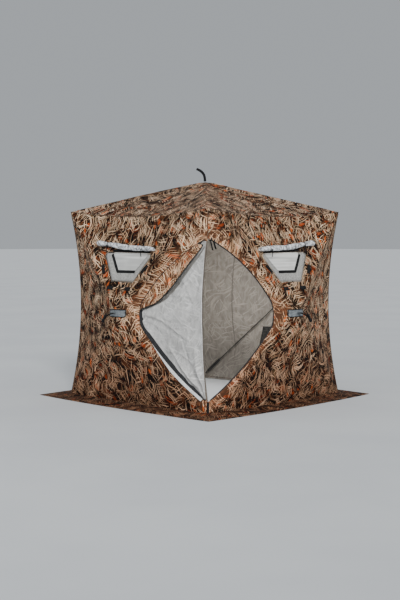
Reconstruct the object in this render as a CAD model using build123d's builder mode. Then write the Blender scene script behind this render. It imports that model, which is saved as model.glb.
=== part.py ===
"""Pop-up ground blind: four hub walls and a hub roof on sprung poles, with a corner door.

The blind stands on z = 0 with its centre over the origin. The front wall faces -Y and the right
wall faces +X. The door is a diamond across the corner between them.

Each wall is described in its own frame: u runs along the wall, z runs up, and n points outward.
Its cloth is a shallow cone: straight lines from the hub to a rim that the tension bows.
"""
import math
import os

from build123d import *

# ---- tent, millimetres ---------------------------------------------------------------------
HALF = 900.0            # from the centre to a corner, along x and along y
EAVE = 1735.0           # height of the four upper corners
PEAK = 2030.0           # height of the roof's point
HUB_Z = 840.0           # height of the wall hubs
HUB_OUT = 240.0         # how far a popped wall hub stands out from the plane of its corners
CLOTH = 4.0             # quilted wall cloth
CORNER_PULL = 69.0      # the corner seams bow in by this at half height, along x and along y
EAVE_PULL = 60.0        # the eaves bow in
EAVE_DIP = 55.0         # and down
FOOT_BULGE = 50.0       # the foot of a wall bows out
STATIONS = 8            # straight runs along each bowed edge
SEAM_GAP = 6.0          # each panel ends this short of the seam line
SKIRT = 3.0             # thickness of the snow skirt
SKIRT_CORNER = 1106.0   # from the centre to the skirt's corner, along x and along y
SKIRT_BULGE = 50.0
SKIRT_TAB = (90.0, 34.0)
SKIRT_TAB_ROUND = 8.0
SKIRT_TAB_INSET = 45.0  # from the skirt's corner to the tab's middle, along x and along y
SKIRT_LAP = 0.995       # the skirt's inner edge is the walls' foot line drawn in by this factor
HEM_GAP = 1.0           # the walls' foot clears the skirt by this much

# ---- door ----------------------------------------------------------------------------------
DOOR_TOP = 1480.0
DOOR_FOOT = 114.0
DOOR_ARCS = (           # start, middle and end of the outline's three arcs, in u and z
    ((865.0, DOOR_TOP), (487.0, 1206.0), (262.0, 930.0)),
    ((262.0, 930.0), (240.0, 825.0), (262.0, 715.0)),
    ((262.0, 715.0), (530.0, 408.0), (883.0, DOOR_FOOT)),
)
DOOR_CORNER = (240.0, 825.0)
DOOR_GAP = 1.0          # between the fixed door half and the wall round it
ZIP_TAPE = 20.0
TAPE = 1.2              # thickness of zip tape and webbing
STORM_STRIP = 28.0      # storm strip that covers the zip under the flap's lower edge
STORM_TOP = 570.0
FLAP_LIFT = 2.0         # the flap lies this much proud of the wall when it is zipped shut
FLAP_CLEAR = 5.0        # room between the flap's edge and the opening's edge
FOLD_OUT = (18.0, 24.0) # the fold plane stands out this far at the fold line and at the corner
SLIDERS = ((838.0, 1477.0), (812.0, 1464.0))
SLIDER_SIZE = (10.0, 18.0, 6.0)
SLIDER_ROUND = 2.0
TIP_CUT = 26.0          # the flap's tips end this short of the door's tips
DRAUGHT_EDGE = (        # inner edge of the draught strip along the flap's upper zip
    (880.0, 1460.0), (789.0, 1323.0), (660.0, 1171.0), (537.0, 1028.0), (488.0, 973.0),
    (413.0, 920.0), (335.0, 892.0), (220.0, 848.0),
)
DRAUGHT_CLOTH = 2.0

# ---- windows, u towards the door -----------------------------------------------------------
WINDOW = ((-310.0, 1352.0), (-140.0, 1108.0), (135.0, 1108.0), (300.0, 1340.0))
PANE = ((-222.0, 1352.0), (-98.0, 1190.0), (128.0, 1190.0), (266.0, 1345.0))
WINDOW_ROUND = 12.0
WINDOW_TAPE = 12.0
TAPE_FREE = (           # the window tape leaves the pane's top and its door side bare
    (-260.0, 1338.0), (-150.0, 1338.0), (-60.0, 1250.0), (122.0, 1210.0), (122.0, 1100.0),
    (420.0, 1100.0), (420.0, 1420.0), (-260.0, 1420.0),
)
BORDER_LAP = 2.0        # the border covers the pane's edge by this much
FILM = 0.6              # clear window film
ROLL_ENDS = ((-412.0, 1440.0), (345.0, 1385.0))
ROLL_RADIUS = 23.0
ROLL_ROUND = 6.0
TIE_GAP = 0.4           # between the rolled cover and its ties
TIE_PLACES = (0.16, 0.8)
TABS = ((-279.0, 1208.0, 118.0), (258.0, 1217.0, 47.0), (-135.0, 1046.0, 0.0), (97.0, 1042.0, 0.0))
TAB_SIZE = (80.0, 20.0)
TAB_ROUND = 3.0

# ---- frame ---------------------------------------------------------------------------------
POLE_INSET = 26.0       # the poles aim at a point this far inside each corner
HIGH_INSET = 20.0       # and this far under the eave at the upper corners
HUB_DROP = 38.0         # the hub's middle lies this far under the cloth's point
HUB_RADIUS = 46.0
HUB_THICK = 24.0
HUB_CHAMFER = 2.0
PIN_RADIUS = 32.0       # from the hub's axis to each pole's pin
PIN_DIAMETER = 6.0
PIN_BITE = 1.0          # the pin runs this far into the hub on both sides of the slot
PIN_CLEARANCE = 0.6     # eye diameter over pin diameter
ROD = 9.5               # fibreglass pole
FERRULE = 12.0          # steel end fitting on the pole
FERRULE_LENGTH = 70.0
EYE_END = 7.0           # the fitting runs this far past the pin
SOCKET = 30.0           # the rod starts this far from the pin, inside the fitting
SLOT = 13.6             # width of the hub's slots
SLOT_PLACE = 1.3        # the slot's middle lies this many pin radii out
POLE_SHORT = 46.0       # a pole's tip ends this short of the point it aims at
TIP = 13.0
TIP_LENGTH = 34.0
TIP_WALL = 4.0          # rubber beyond the rod's end
END_ROUND = 3.0         # rounding of the cap and of the sleeve
SLEEVE = 28.0           # foam sleeve over the pole's outer end
SLEEVE_START = 84.0     # from the aimed point to the sleeve
SLEEVE_LENGTH = 190.0
POCKET_RADIUS = 11.0
PATCH = (205.0, 64.0)   # reflective patch over a wall hub
PATCH_Z = 826.0
PATCH_GAP = 3.0
ROOF_PATCH = 58.0
STRAP_WIDTH = 25.0

FRONT = Plane(origin=(0, -HALF, 0), x_dir=(1, 0, 0), z_dir=(0, -1, 0))
RIGHT = Plane(origin=(HALF, 0, 0), x_dir=(0, 1, 0), z_dir=(1, 0, 0))
BACK = Plane(origin=(0, HALF, 0), x_dir=(-1, 0, 0), z_dir=(0, 1, 0))
LEFT = Plane(origin=(-HALF, 0, 0), x_dir=(0, -1, 0), z_dir=(-1, 0, 0))
WALLS = {"front": FRONT, "right": RIGHT, "back": BACK, "left": LEFT}
DIAGONAL = Plane(origin=(0, 0, 0), z_dir=(1, 1, 0))     # mirrors the front wall onto the right
REACH = 600.0           # longer than any cut through a wall needs
os.makedirs("parts", exist_ok=True)


def save(builder, name):
    """Label one finished piece and write it as its own node."""
    builder.part.label = name
    export_step(builder.part, f"parts/{name}.step")


# ---- the bowed rim of a wall and the cloth stretched on it -----------------------------------
def bow(t):
    """Parabola that is 0 at both ends of an edge and 1 halfway along."""
    return 4 * t * (1 - t)


def corner_seam(t):
    """Point of the wall's corner seam on the +u side, from the foot (0) to the eave (1)."""
    pull = CORNER_PULL * bow(t)
    return Vector(HALF - pull, EAVE * t, -pull)


def eave(t):
    return Vector(HALF * (2 * t - 1), EAVE - EAVE_DIP * bow(t), -EAVE_PULL * bow(t))


def foot(t):
    return Vector(HALF * (2 * t - 1), 0, FOOT_BULGE * bow(t))


def run(edge, reverse=False):
    """Pairs of neighbouring stations along one bowed edge."""
    stations = [edge(i / STATIONS) for i in range(STATIONS + 1)]
    if reverse:
        stations.reverse()
    return list(zip(stations, stations[1:]))


def flipped(pairs):
    """The same run on the other side of the wall."""
    return [(Vector(-b.X, b.Y, b.Z), Vector(-a.X, a.Y, a.Z)) for a, b in pairs]


HUB_POINT = Vector(0, HUB_Z, HUB_OUT)
DOOR_SIDE = run(corner_seam)
EAVE_RUN = run(eave, reverse=True)
RIM = run(foot) + DOOR_SIDE + EAVE_RUN + flipped(DOOR_SIDE)


def cone_height(u, z):
    """Height n of the wall's cloth over its plane at u and z, on the door side."""
    for a, b in RIM:
        normal = (a - HUB_POINT).cross(b - HUB_POINT)
        n = HUB_OUT - (normal.X * u + normal.Y * (z - HUB_Z)) / normal.Z
        inside_a = a.X * (z - HUB_Z) - u * (a.Y - HUB_Z) >= -1e-6
        inside_b = u * (b.Y - HUB_Z) - b.X * (z - HUB_Z) >= -1e-6
        if inside_a and inside_b:
            return n
    raise ValueError("the point is outside the wall")


def cloth_layer(plane, pairs, lift, thickness):
    """Cone of cloth between the hub and a stretch of the rim, lifted off the wall's face."""
    shift = Vector(0, 0, lift)
    with BuildPart() as layer:
        for a, b in pairs:
            corners = [plane.from_local_coords(p + shift) for p in (HUB_POINT, a, b)]
            gore = Face(Wire.make_polygon(corners, close=True))
            extrude(gore, amount=thickness, dir=-plane.z_dir)
    return layer.part


# ---- outlines, drawn in u and z --------------------------------------------------------------
def door_outline(grow, past=REACH):
    """Opening's outline, grown by a margin and closed beyond the corner seam."""
    with BuildSketch() as outline:
        with BuildLine():
            for start, middle, end in DOOR_ARCS:
                ThreePointArc(start, middle, end)
            Line(DOOR_ARCS[2][2], (HALF + past, DOOR_FOOT))
            Line((HALF + past, DOOR_FOOT), (HALF + past, DOOR_TOP))
            Line((HALF + past, DOOR_TOP), DOOR_ARCS[0][0])
        make_face()
        if grow:
            offset(amount=grow)
    return outline.sketch


def window_outline(corners, grow=0.0):
    with BuildSketch() as outline:
        with BuildLine():
            Polyline(*corners, close=True)
        make_face()
        if grow:
            offset(amount=grow, kind=Kind.INTERSECTION)
        fillet(outline.vertices(), radius=WINDOW_ROUND)
    return outline.sketch


# ---- walls -----------------------------------------------------------------------------------
def wall(plane, with_openings):
    """Wall cloth, cut back from its seams, with its hub hole and any door and window."""
    with BuildPart() as panel:
        add(cloth_layer(plane, RIM, 0, CLOTH))
        with BuildSketch(plane):
            with Locations((0, PATCH_Z)):
                Rectangle(PATCH[0] + 2 * PATCH_GAP, PATCH[1] + 2 * PATCH_GAP)
            if with_openings:
                add(door_outline(0))
                add(window_outline(WINDOW, -WINDOW_TAPE))
        extrude(amount=REACH, both=True, mode=Mode.SUBTRACT)
        with BuildSketch(plane):
            with BuildLine():
                right = [corner_seam(t / STATIONS) for t in range(STATIONS + 1)]
                Polyline(*[(p.X - SEAM_GAP, p.Y) for p in right])
                Polyline(*[(-p.X + SEAM_GAP, p.Y) for p in right])
                Line((SEAM_GAP - HALF, 0), (HALF - SEAM_GAP, 0))
                Line((SEAM_GAP - HALF, EAVE), (HALF - SEAM_GAP, EAVE))
            make_face()
        extrude(amount=REACH, both=True, mode=Mode.INTERSECT)
        with BuildSketch(plane):
            with BuildLine():
                top = [eave(t / STATIONS) for t in range(STATIONS + 1)]
                Polyline(*[(p.X, p.Y - SEAM_GAP) for p in top])
                Polyline((-HALF, EAVE - SEAM_GAP), (-HALF, SKIRT + HEM_GAP), (HALF, SKIRT + HEM_GAP),
                         (HALF, EAVE - SEAM_GAP))
            make_face()
        extrude(amount=REACH, both=True, mode=Mode.INTERSECT)
    return panel


front_wall = wall(FRONT, with_openings=True)
save(front_wall, "front_wall")

with BuildPart() as right_wall:
    mirror(front_wall.part, about=DIAGONAL)
save(right_wall, "right_wall")

for name in ("back", "left"):
    save(wall(WALLS[name], with_openings=False), f"{name}_wall")

# ---- roof ------------------------------------------------------------------------------------
with BuildPart() as roof:
    for plane in WALLS.values():
        for a, b in EAVE_RUN:
            corners = [plane.from_local_coords(p) for p in (a, b)]
            gore = Face(Wire.make_polygon([Vector(0, 0, PEAK), *corners], close=True))
            extrude(gore, amount=CLOTH, dir=(0, 0, -1))
    with BuildSketch():
        Circle(ROOF_PATCH + PATCH_GAP)
    extrude(amount=PEAK + CLOTH, mode=Mode.SUBTRACT)
save(roof, "roof")

# ---- snow skirt ------------------------------------------------------------------------------
with BuildPart() as skirt:
    with BuildSketch():
        with BuildLine():
            for i in range(4):
                side = Plane.XY.rotated((0, 0, 90 * i))
                ends = [side.from_local_coords((s * SKIRT_CORNER, -SKIRT_CORNER)) for s in (-1, 1)]
                middle = side.from_local_coords((0, -SKIRT_CORNER - SKIRT_BULGE))
                ThreePointArc(ends[0], middle, ends[1])
        make_face()
        with BuildLine():
            for plane in WALLS.values():
                points = [plane.from_local_coords(foot(t / STATIONS)) for t in range(STATIONS + 1)]
                Polyline(*[(p.X * SKIRT_LAP, p.Y * SKIRT_LAP) for p in points])
        make_face(mode=Mode.SUBTRACT)
    extrude(amount=SKIRT)
save(skirt, "skirt")

# Webbing tabs sewn on the skirt's four corners, where the stakes go.
with BuildPart() as skirt_tabs:
    with BuildSketch(Plane.XY.offset(SKIRT)):
        with PolarLocations((SKIRT_CORNER - SKIRT_TAB_INSET) * math.sqrt(2), 4, start_angle=45):
            RectangleRounded(*SKIRT_TAB, SKIRT_TAB_ROUND)
    extrude(amount=TAPE)
save(skirt_tabs, "skirt_tabs")

# ---- door: fixed half, folded flap, tapes ------------------------------------------------------
with BuildPart() as door_left_panel:
    add(cloth_layer(FRONT, DOOR_SIDE, 0, CLOTH))
    with BuildSketch(FRONT):
        add(door_outline(-DOOR_GAP))
    extrude(amount=REACH, both=True, mode=Mode.INTERSECT)
    with BuildSketch(FRONT):
        with BuildLine():
            seam = [corner_seam(t / STATIONS) for t in range(STATIONS + 1)]
            Polyline((0, 0), *[(p.X - SEAM_GAP, p.Y) for p in seam], (0, EAVE), (0, 0))
        make_face()
    extrude(amount=REACH, both=True, mode=Mode.INTERSECT)
save(door_left_panel, "door_left_panel")

with BuildPart() as wall_zip:
    add(cloth_layer(FRONT, DOOR_SIDE, TAPE, TAPE))
    with BuildSketch(FRONT):
        add(door_outline(ZIP_TAPE / 2))
        add(door_outline(0), mode=Mode.SUBTRACT)
        with Locations((HALF, EAVE / 2)):
            Rectangle(2 * (CORNER_PULL + 4 * SEAM_GAP), EAVE, mode=Mode.SUBTRACT)
    extrude(amount=REACH, both=True, mode=Mode.INTERSECT)

with BuildPart() as zip_tapes:
    add(wall_zip.part)
    mirror(wall_zip.part, about=DIAGONAL)
save(zip_tapes, "zip_tapes")


def on_front(u, z, lift=0.0):
    """World point at u and z on the front wall's cloth, lifted off it."""
    return FRONT.from_local_coords(Vector(u, z, cone_height(u, z) + lift))


def tip_on_axis(z):
    """Point of the flap's fold axis, just outside the corner seam at height z."""
    seam_point = FRONT.from_local_coords(corner_seam(z / EAVE))
    step = FOLD_OUT[0] / math.sqrt(2)
    return Vector(seam_point.X + step, seam_point.Y - step, z)


axis_top = tip_on_axis(DOOR_TOP)
axis_foot = tip_on_axis(DOOR_FOOT)
fold_corner = on_front(*DOOR_CORNER, FOLD_OUT[1])
fold_normal = (axis_top - axis_foot).cross(fold_corner - axis_foot)
FOLD = Plane(origin=axis_foot, z_dir=fold_normal)      # the flap lies mirrored in this plane


def flap_layer(lift, thickness, sketch):
    """Piece of the flap: shaped on the front wall, then mirrored to where it lies folded."""
    with BuildPart() as blank:
        add(cloth_layer(FRONT, DOOR_SIDE, lift, thickness))
        with BuildSketch(FRONT):
            add(sketch)
        extrude(amount=REACH, both=True, mode=Mode.INTERSECT)
    with BuildPart() as folded:
        mirror(blank.part, about=FOLD)
    return folded


def flap_outline(grow):
    """Outline of the flap up to its fold line, with its two tips cut off."""
    with BuildSketch() as outline:
        add(door_outline(grow))
        with BuildLine():
            seam_line = [corner_seam(t / STATIONS) for t in range(STATIONS + 1)]
            Polyline((0, 0), *[(p.X - SEAM_GAP, p.Y) for p in seam_line], (0, EAVE), (0, 0))
        make_face(mode=Mode.INTERSECT)
        with Locations((HALF / 2, (DOOR_TOP + DOOR_FOOT) / 2)):
            Rectangle(HALF, DOOR_TOP - DOOR_FOOT - 2 * TIP_CUT, mode=Mode.INTERSECT)
    return outline.sketch


door_flap = flap_layer(FLAP_LIFT, CLOTH, flap_outline(-FLAP_CLEAR))
save(door_flap, "door_flap")

with BuildSketch() as tape_band:
    add(flap_outline(-FLAP_CLEAR))
    add(door_outline(-FLAP_CLEAR - ZIP_TAPE), mode=Mode.SUBTRACT)
save(flap_layer(FLAP_LIFT - CLOTH, TAPE, tape_band.sketch), "flap_zip_tape")

with BuildSketch() as storm_band:
    add(flap_outline(STORM_STRIP))
    add(door_outline(-FLAP_CLEAR - ZIP_TAPE), mode=Mode.SUBTRACT)
    with Locations((HALF / 2, STORM_TOP / 2)):
        Rectangle(HALF, STORM_TOP, mode=Mode.INTERSECT)
save(flap_layer(FLAP_LIFT + TAPE, TAPE, storm_band.sketch), "flap_storm_strip")

# Camouflage draught strip behind the flap's upper zip; it shows while the flap lies folded.
with BuildSketch() as draught_band:
    with BuildLine():
        Spline(*DRAUGHT_EDGE)
        Polyline(DRAUGHT_EDGE[-1], (DRAUGHT_EDGE[-1][0], EAVE), (DRAUGHT_EDGE[0][0], EAVE),
                 DRAUGHT_EDGE[0])
    make_face()
    add(flap_outline(-FLAP_CLEAR), mode=Mode.INTERSECT)
save(flap_layer(FLAP_LIFT - CLOTH - TAPE, DRAUGHT_CLOTH, draught_band.sketch),
     "flap_draught_strip")

# Two zip sliders parked under the door's top tip, one behind the other on the right wall's zip.
with BuildPart() as front_sliders:
    for u, z in SLIDERS:
        with BuildSketch(Plane(origin=on_front(u, z, 4 * TAPE), x_dir=(1, 0, 0), z_dir=(0, -1, 0))):
            RectangleRounded(*SLIDER_SIZE[:2], SLIDER_ROUND)
        extrude(amount=SLIDER_SIZE[2])
with BuildPart() as zip_sliders:
    mirror(front_sliders.part, about=DIAGONAL)
save(zip_sliders, "zip_sliders")


# ---- windows ---------------------------------------------------------------------------------
def window_layer(lift, thickness, outer, hole=None):
    """Flat piece of a window that lies on the cone of the upper gore."""
    with BuildPart() as piece:
        add(cloth_layer(FRONT, EAVE_RUN, lift, thickness))
        with BuildSketch(FRONT):
            add(outer)
            if hole:
                add(hole, mode=Mode.SUBTRACT)
        extrude(amount=REACH, both=True, mode=Mode.INTERSECT)
    return piece


def roll_axis():
    """Both ends of the rolled cover's axis, clear of the cloth behind it."""
    return [on_front(u, z, ROLL_RADIUS + 3 * TAPE) for u, z in ROLL_ENDS]


def cover_roll():
    start, end = roll_axis()
    with BuildPart() as roll:
        with BuildSketch(Plane(origin=start, z_dir=end - start)):
            Circle(ROLL_RADIUS)
        extrude(amount=(end - start).length)
        fillet(roll.edges(), radius=ROLL_ROUND)
    return roll


def window_straps():
    """Ties round the rolled cover and the hook-and-loop tabs that hold the cover when shut."""
    start, end = roll_axis()
    with BuildPart() as straps:
        for place in TIE_PLACES:
            spot = start + (end - start) * place
            with BuildSketch(Plane(origin=spot, z_dir=end - start)):
                Circle(ROLL_RADIUS + TIE_GAP + TAPE)
                Circle(ROLL_RADIUS + TIE_GAP, mode=Mode.SUBTRACT)
            extrude(amount=TAB_SIZE[1])
        add(window_layer(TAPE, TAPE, tab_sketch()).part)
    return straps


def tab_sketch():
    with BuildSketch() as tabs:
        for u, z, angle in TABS:
            with Locations(Location((u, z, 0), (0, 0, angle))):
                RectangleRounded(*TAB_SIZE, TAB_ROUND)
    return tabs.sketch


def tape_sketch():
    """The black tape round the pane's outer side and bottom."""
    with BuildSketch() as band:
        add(window_outline(PANE, WINDOW_TAPE / 2))
        add(window_outline(PANE, -WINDOW_TAPE / 2), mode=Mode.SUBTRACT)
        with BuildLine():
            Polyline(*TAPE_FREE, close=True)
        make_face(mode=Mode.SUBTRACT)
    return band.sketch


window_pieces = {
    "border": window_layer(FILM + TAPE, TAPE, window_outline(WINDOW), window_outline(PANE, -BORDER_LAP)),
    "pane": window_layer(FILM, FILM, window_outline(PANE, WINDOW_TAPE)),
    "tape": window_layer(FILM + 2 * TAPE, TAPE, tape_sketch()),
    "cover_roll": cover_roll(),
    "straps": window_straps(),
}
for name, piece in window_pieces.items():
    save(piece, f"front_window_{name}")
    with BuildPart() as mirrored:
        mirror(piece.part, about=DIAGONAL)
    save(mirrored, f"right_window_{name}")


# ---- hubs, patches, pulls and poles ------------------------------------------------------------
def pole_aims(plane):
    """Local points that a hub's four poles aim at, named by corner."""
    low = POLE_INSET + SKIRT
    high = EAVE - HIGH_INSET
    side = HALF - POLE_INSET
    if plane is ROOF:
        corners = {"back_right": (1, 1), "back_left": (-1, 1)}
        corners.update({"front_left": (-1, -1), "front_right": (1, -1)})
        return {k: Vector(side * i, side * j, high - PEAK) for k, (i, j) in corners.items()}
    corners = {"upper_right": (1, high), "upper_left": (-1, high)}
    corners.update({"lower_left": (-1, low), "lower_right": (1, low)})
    return {k: Vector(side * i, z - HUB_Z, -POLE_INSET) for k, (i, z) in corners.items()}


ROOF = Plane(origin=(0, 0, PEAK), x_dir=(1, 0, 0), z_dir=(0, 0, 1))
HUB_FRAMES = {"roof": ROOF}
for name, plane in WALLS.items():
    HUB_FRAMES[name] = Plane(origin=plane.from_local_coords((0, HUB_Z, 0)),
                             x_dir=plane.x_dir, z_dir=plane.z_dir)


def hub_depth(name):
    """Height n of the hub's middle in its own frame."""
    return -HUB_DROP if name == "roof" else HUB_OUT - HUB_DROP


def pole_line(name, aim):
    """Pin, aimed point and flat direction of one pole, in its hub's frame."""
    flat = Vector(aim.X, aim.Y, 0).normalized()
    pin = flat * PIN_RADIUS + Vector(0, 0, hub_depth(name))
    return pin, aim, flat


def hub_moulding(name, frame):
    """Slotted nylon hub with a steel pin across each slot."""
    directions = [pole_line(name, aim) for aim in pole_aims(frame).values()]
    middle = frame.offset(hub_depth(name) - HUB_THICK / 2)
    with BuildPart() as hub:
        with BuildSketch(middle):
            Circle(HUB_RADIUS)
        extrude(amount=HUB_THICK)
        chamfer(hub.edges(), length=HUB_CHAMFER)
        with BuildSketch(middle):
            for pin, _, flat in directions:
                turn = math.degrees(math.atan2(flat.Y, flat.X))
                with Locations(Location((pin.X * SLOT_PLACE, pin.Y * SLOT_PLACE, 0), (0, 0, turn))):
                    Rectangle(HUB_RADIUS, SLOT)
        extrude(amount=HUB_THICK, mode=Mode.SUBTRACT)
        for pin, _, flat in directions:
            centre = frame.from_local_coords(pin)
            across = frame.from_local_coords(pin + flat.cross(Vector(0, 0, 1))) - centre
            with BuildSketch(Plane(origin=centre, z_dir=across)):
                Circle(PIN_DIAMETER / 2)
            extrude(amount=SLOT / 2 + PIN_BITE, both=True)
    return hub


def pole(name, frame, aim):
    """Fibreglass rod with its eye fitting, foam sleeve and end cap, as separate solids."""
    pin, target, flat = pole_line(name, aim)
    start = frame.from_local_coords(pin)
    reach = frame.from_local_coords(target) - start
    across = (frame.from_local_coords(pin + flat.cross(Vector(0, 0, 1))) - start).normalized()
    line = Plane(origin=start, x_dir=across, z_dir=reach)
    length = reach.length
    with BuildPart() as fitting:
        with BuildSketch(line.offset(-EYE_END)):
            Circle(FERRULE / 2)
        extrude(amount=FERRULE_LENGTH)
        with BuildSketch(Plane(origin=start, z_dir=across)):
            Circle((PIN_DIAMETER + PIN_CLEARANCE) / 2)
        extrude(amount=FERRULE, both=True, mode=Mode.SUBTRACT)
        with BuildSketch(line.offset(SOCKET)):
            Circle(ROD / 2)
        extrude(amount=FERRULE_LENGTH, mode=Mode.SUBTRACT)
    with BuildPart() as rod:
        with BuildSketch(line.offset(SOCKET)):
            Circle(ROD / 2)
        extrude(amount=length - POLE_SHORT - TIP_WALL - SOCKET)
    with BuildPart() as cap:
        with BuildSketch(line.offset(length - POLE_SHORT - TIP_LENGTH)):
            Circle(TIP / 2)
        extrude(amount=TIP_LENGTH)
        fillet(cap.edges(), radius=END_ROUND)
        with BuildSketch(line.offset(length - POLE_SHORT - TIP_LENGTH)):
            Circle(ROD / 2)
        extrude(amount=TIP_LENGTH - TIP_WALL, mode=Mode.SUBTRACT)
    with BuildPart() as sleeve:
        with BuildSketch(line.offset(length - SLEEVE_START - SLEEVE_LENGTH)):
            Circle(SLEEVE / 2)
        extrude(amount=SLEEVE_LENGTH)
        fillet(sleeve.edges(), radius=END_ROUND)
        with BuildSketch(line.offset(length - SLEEVE_START - SLEEVE_LENGTH)):
            Circle(ROD / 2)
        extrude(amount=SLEEVE_LENGTH, mode=Mode.SUBTRACT)
    with BuildPart() as whole:
        pieces = [fitting.part, rod.part, cap.part]
        if name != "roof":
            pieces.append(sleeve.part)
        add(Compound(pieces))
    return whole


def patch(name, frame):
    """Reinforced patch of cloth over a hub, which travels with the hub."""
    with BuildPart() as crown:
        if name == "roof":
            for plane in WALLS.values():
                for a, b in EAVE_RUN:
                    corners = [plane.from_local_coords(p) for p in (a, b)]
                    gore = Face(Wire.make_polygon([Vector(0, 0, PEAK), *corners], close=True))
                    extrude(gore, amount=CLOTH, dir=(0, 0, -1))
            with BuildSketch():
                Circle(ROOF_PATCH)
            extrude(amount=PEAK + CLOTH, mode=Mode.INTERSECT)
        else:
            add(cloth_layer(WALLS[name], RIM, 0, CLOTH))
            with BuildSketch(WALLS[name]):
                with Locations((0, PATCH_Z)):
                    Rectangle(*PATCH)
            extrude(amount=REACH, both=True, mode=Mode.INTERSECT)
    return crown


STRAP_ROUTES = {        # out from the patch and down, in the hub's frame
    "wall": ((0, -2, HUB_OUT + 0.5), (0, -4, HUB_OUT + 60), (0, -34, HUB_OUT + 110),
             (0, -72, HUB_OUT + 148)),
    "roof": ((0, 0, 0.5), (-8, -6, 55), (-30, -22, 98), (-58, -44, 118)),
}


def pull_strap(name, frame):
    """Webbing pull sewn through the patch."""
    route = STRAP_ROUTES["roof" if name == "roof" else "wall"]
    points = [frame.from_local_coords(p) for p in route]
    with BuildPart() as strap:
        with BuildLine() as path:
            Spline(*points, tangents=[frame.z_dir, points[-1] - points[-2]])
        with BuildSketch(Plane(origin=points[0], x_dir=frame.x_dir, z_dir=frame.z_dir)):
            Rectangle(STRAP_WIDTH, 2 * TAPE)
        sweep(path=path.wires()[0])
    return strap


for name, frame in HUB_FRAMES.items():
    save(hub_moulding(name, frame), f"{name}_hub")
    save(patch(name, frame), f"{name}_hub_patch")
    save(pull_strap(name, frame), f"{name}_pull_strap")
    for corner, aim in pole_aims(frame).items():
        save(pole(name, frame, aim), f"{name}_pole_{corner}")

# Moulded seats in the corners that the pole caps press into.
with BuildPart() as corner_seats:
    for z in (POLE_INSET + SKIRT, EAVE - HIGH_INSET):
        with GridLocations(2 * (HALF - POLE_INSET), 2 * (HALF - POLE_INSET), 2, 2):
            with Locations((0, 0, z)):
                Sphere(POCKET_RADIUS)
save(corner_seats, "corner_seats")
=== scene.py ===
"""Looks of the pop-up ground blind: camouflage cloth, door flap, windows, webbing and frame."""
import math

import bmesh
import bpy
import numpy as np
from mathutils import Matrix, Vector

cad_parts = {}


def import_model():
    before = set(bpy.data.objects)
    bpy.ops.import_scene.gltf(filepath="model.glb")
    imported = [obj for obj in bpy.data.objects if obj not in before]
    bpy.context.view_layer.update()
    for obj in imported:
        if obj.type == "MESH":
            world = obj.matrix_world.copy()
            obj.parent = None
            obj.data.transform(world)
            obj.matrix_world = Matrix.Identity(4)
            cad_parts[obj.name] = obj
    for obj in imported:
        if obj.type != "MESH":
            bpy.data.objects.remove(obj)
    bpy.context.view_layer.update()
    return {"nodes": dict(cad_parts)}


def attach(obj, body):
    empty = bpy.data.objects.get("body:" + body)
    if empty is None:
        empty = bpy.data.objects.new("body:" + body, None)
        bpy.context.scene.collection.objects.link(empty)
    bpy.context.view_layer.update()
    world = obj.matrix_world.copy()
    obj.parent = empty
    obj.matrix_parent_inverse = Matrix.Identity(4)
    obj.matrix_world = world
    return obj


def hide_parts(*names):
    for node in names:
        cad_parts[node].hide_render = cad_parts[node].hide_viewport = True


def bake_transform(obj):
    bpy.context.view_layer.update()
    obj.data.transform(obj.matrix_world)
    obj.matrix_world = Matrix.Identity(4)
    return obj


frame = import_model()

# ---- sizes shared with the CAD model, metres --------------------------------------------------
HALF = 0.900            # half the distance between corners
EAVE = 1.735
PEAK = 2.030
HUB_Z = 0.840           # height of a wall hub, and how far it stands out of the corners' plane
HUB_OUT = 0.240
CORNER_PULL = 0.069     # how far the tight cloth bows in at mid corner and mid eave
EAVE_PULL = 0.060
EAVE_DIP = 0.055
FOOT_BULGE = 0.050      # how far the foot and the skirt bow out
SKIRT_CORNER = 1.106
SKIRT_BULGE = 0.050
DOOR_TOP = 1.480
DOOR_FOOT = 0.114
DOOR_ARCS = (           # the outline in a wall's own (u, z), three points an arc
    ((0.865, DOOR_TOP), (0.487, 1.206), (0.262, 0.930)),
    ((0.262, 0.930), (0.240, 0.825), (0.262, 0.715)),
    ((0.262, 0.715), (0.530, 0.408), (0.883, DOOR_FOOT)),
)
DOOR_CORNER = (0.240, 0.825)
FOLD_OUT = (0.018, 0.024)       # the folded flap clears the seam and the door's corner by this
DRAUGHT_EDGE = (        # lower edge of the draught strip on the folded flap
    (0.180, 0.838), (0.220, 0.848), (0.335, 0.892), (0.413, 0.920), (0.488, 0.973),
    (0.537, 1.028), (0.660, 1.171), (0.789, 1.323), (0.900, 1.480),
)
WINDOW = ((-0.310, 1.352), (-0.140, 1.108), (0.135, 1.108), (0.300, 1.340))
PANE = ((-0.222, 1.352), (-0.098, 1.190), (0.128, 1.190), (0.266, 1.345))
ROLL_ENDS = ((-0.412, 1.440), (0.345, 1.385))
ROLL_RADIUS = 0.023
TIES = (0.18, 0.80)     # shares of the roll's length
WINDOW_TAPE = ((-0.216, 1.340), (-0.101, 1.193), (-0.094, 1.188), (0.132, 1.188))
WINDOW_HEADER = ((-0.222, 1.374), (0.268, 1.362))
# Middle and turn, in degrees, of each hook-and-loop tab.
TABS = ((-0.279, 1.208, 118.0), (0.258, 1.217, 47.0), (-0.135, 1.046, 0.0), (0.097, 1.042, 0.0))
PATCH = (0.205, 0.064)
PATCH_Z = 0.826
PATCH_GAP = 0.003

# ---- thicknesses, and how far pieces lie from each other --------------------------------------
CLOTH = 0.003           # insulated cloth of the walls, roof, skirt and door
STRIP = 0.002           # single cloth of the strips at the door
TAPE = 0.0014           # zip tape and woven tape
SEAM_RADIUS = 0.0034    # bound seam
ZIP_HOLD = 0.030        # the zip keeps the cloth flat this far from the door's outline

WALLS = ("front", "right", "back", "left")
DOOR_WALLS = ("front", "right")
UP = (0, 0, 1)
TURN = {name: i * math.pi / 2 for i, name in enumerate(WALLS)}


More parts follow.
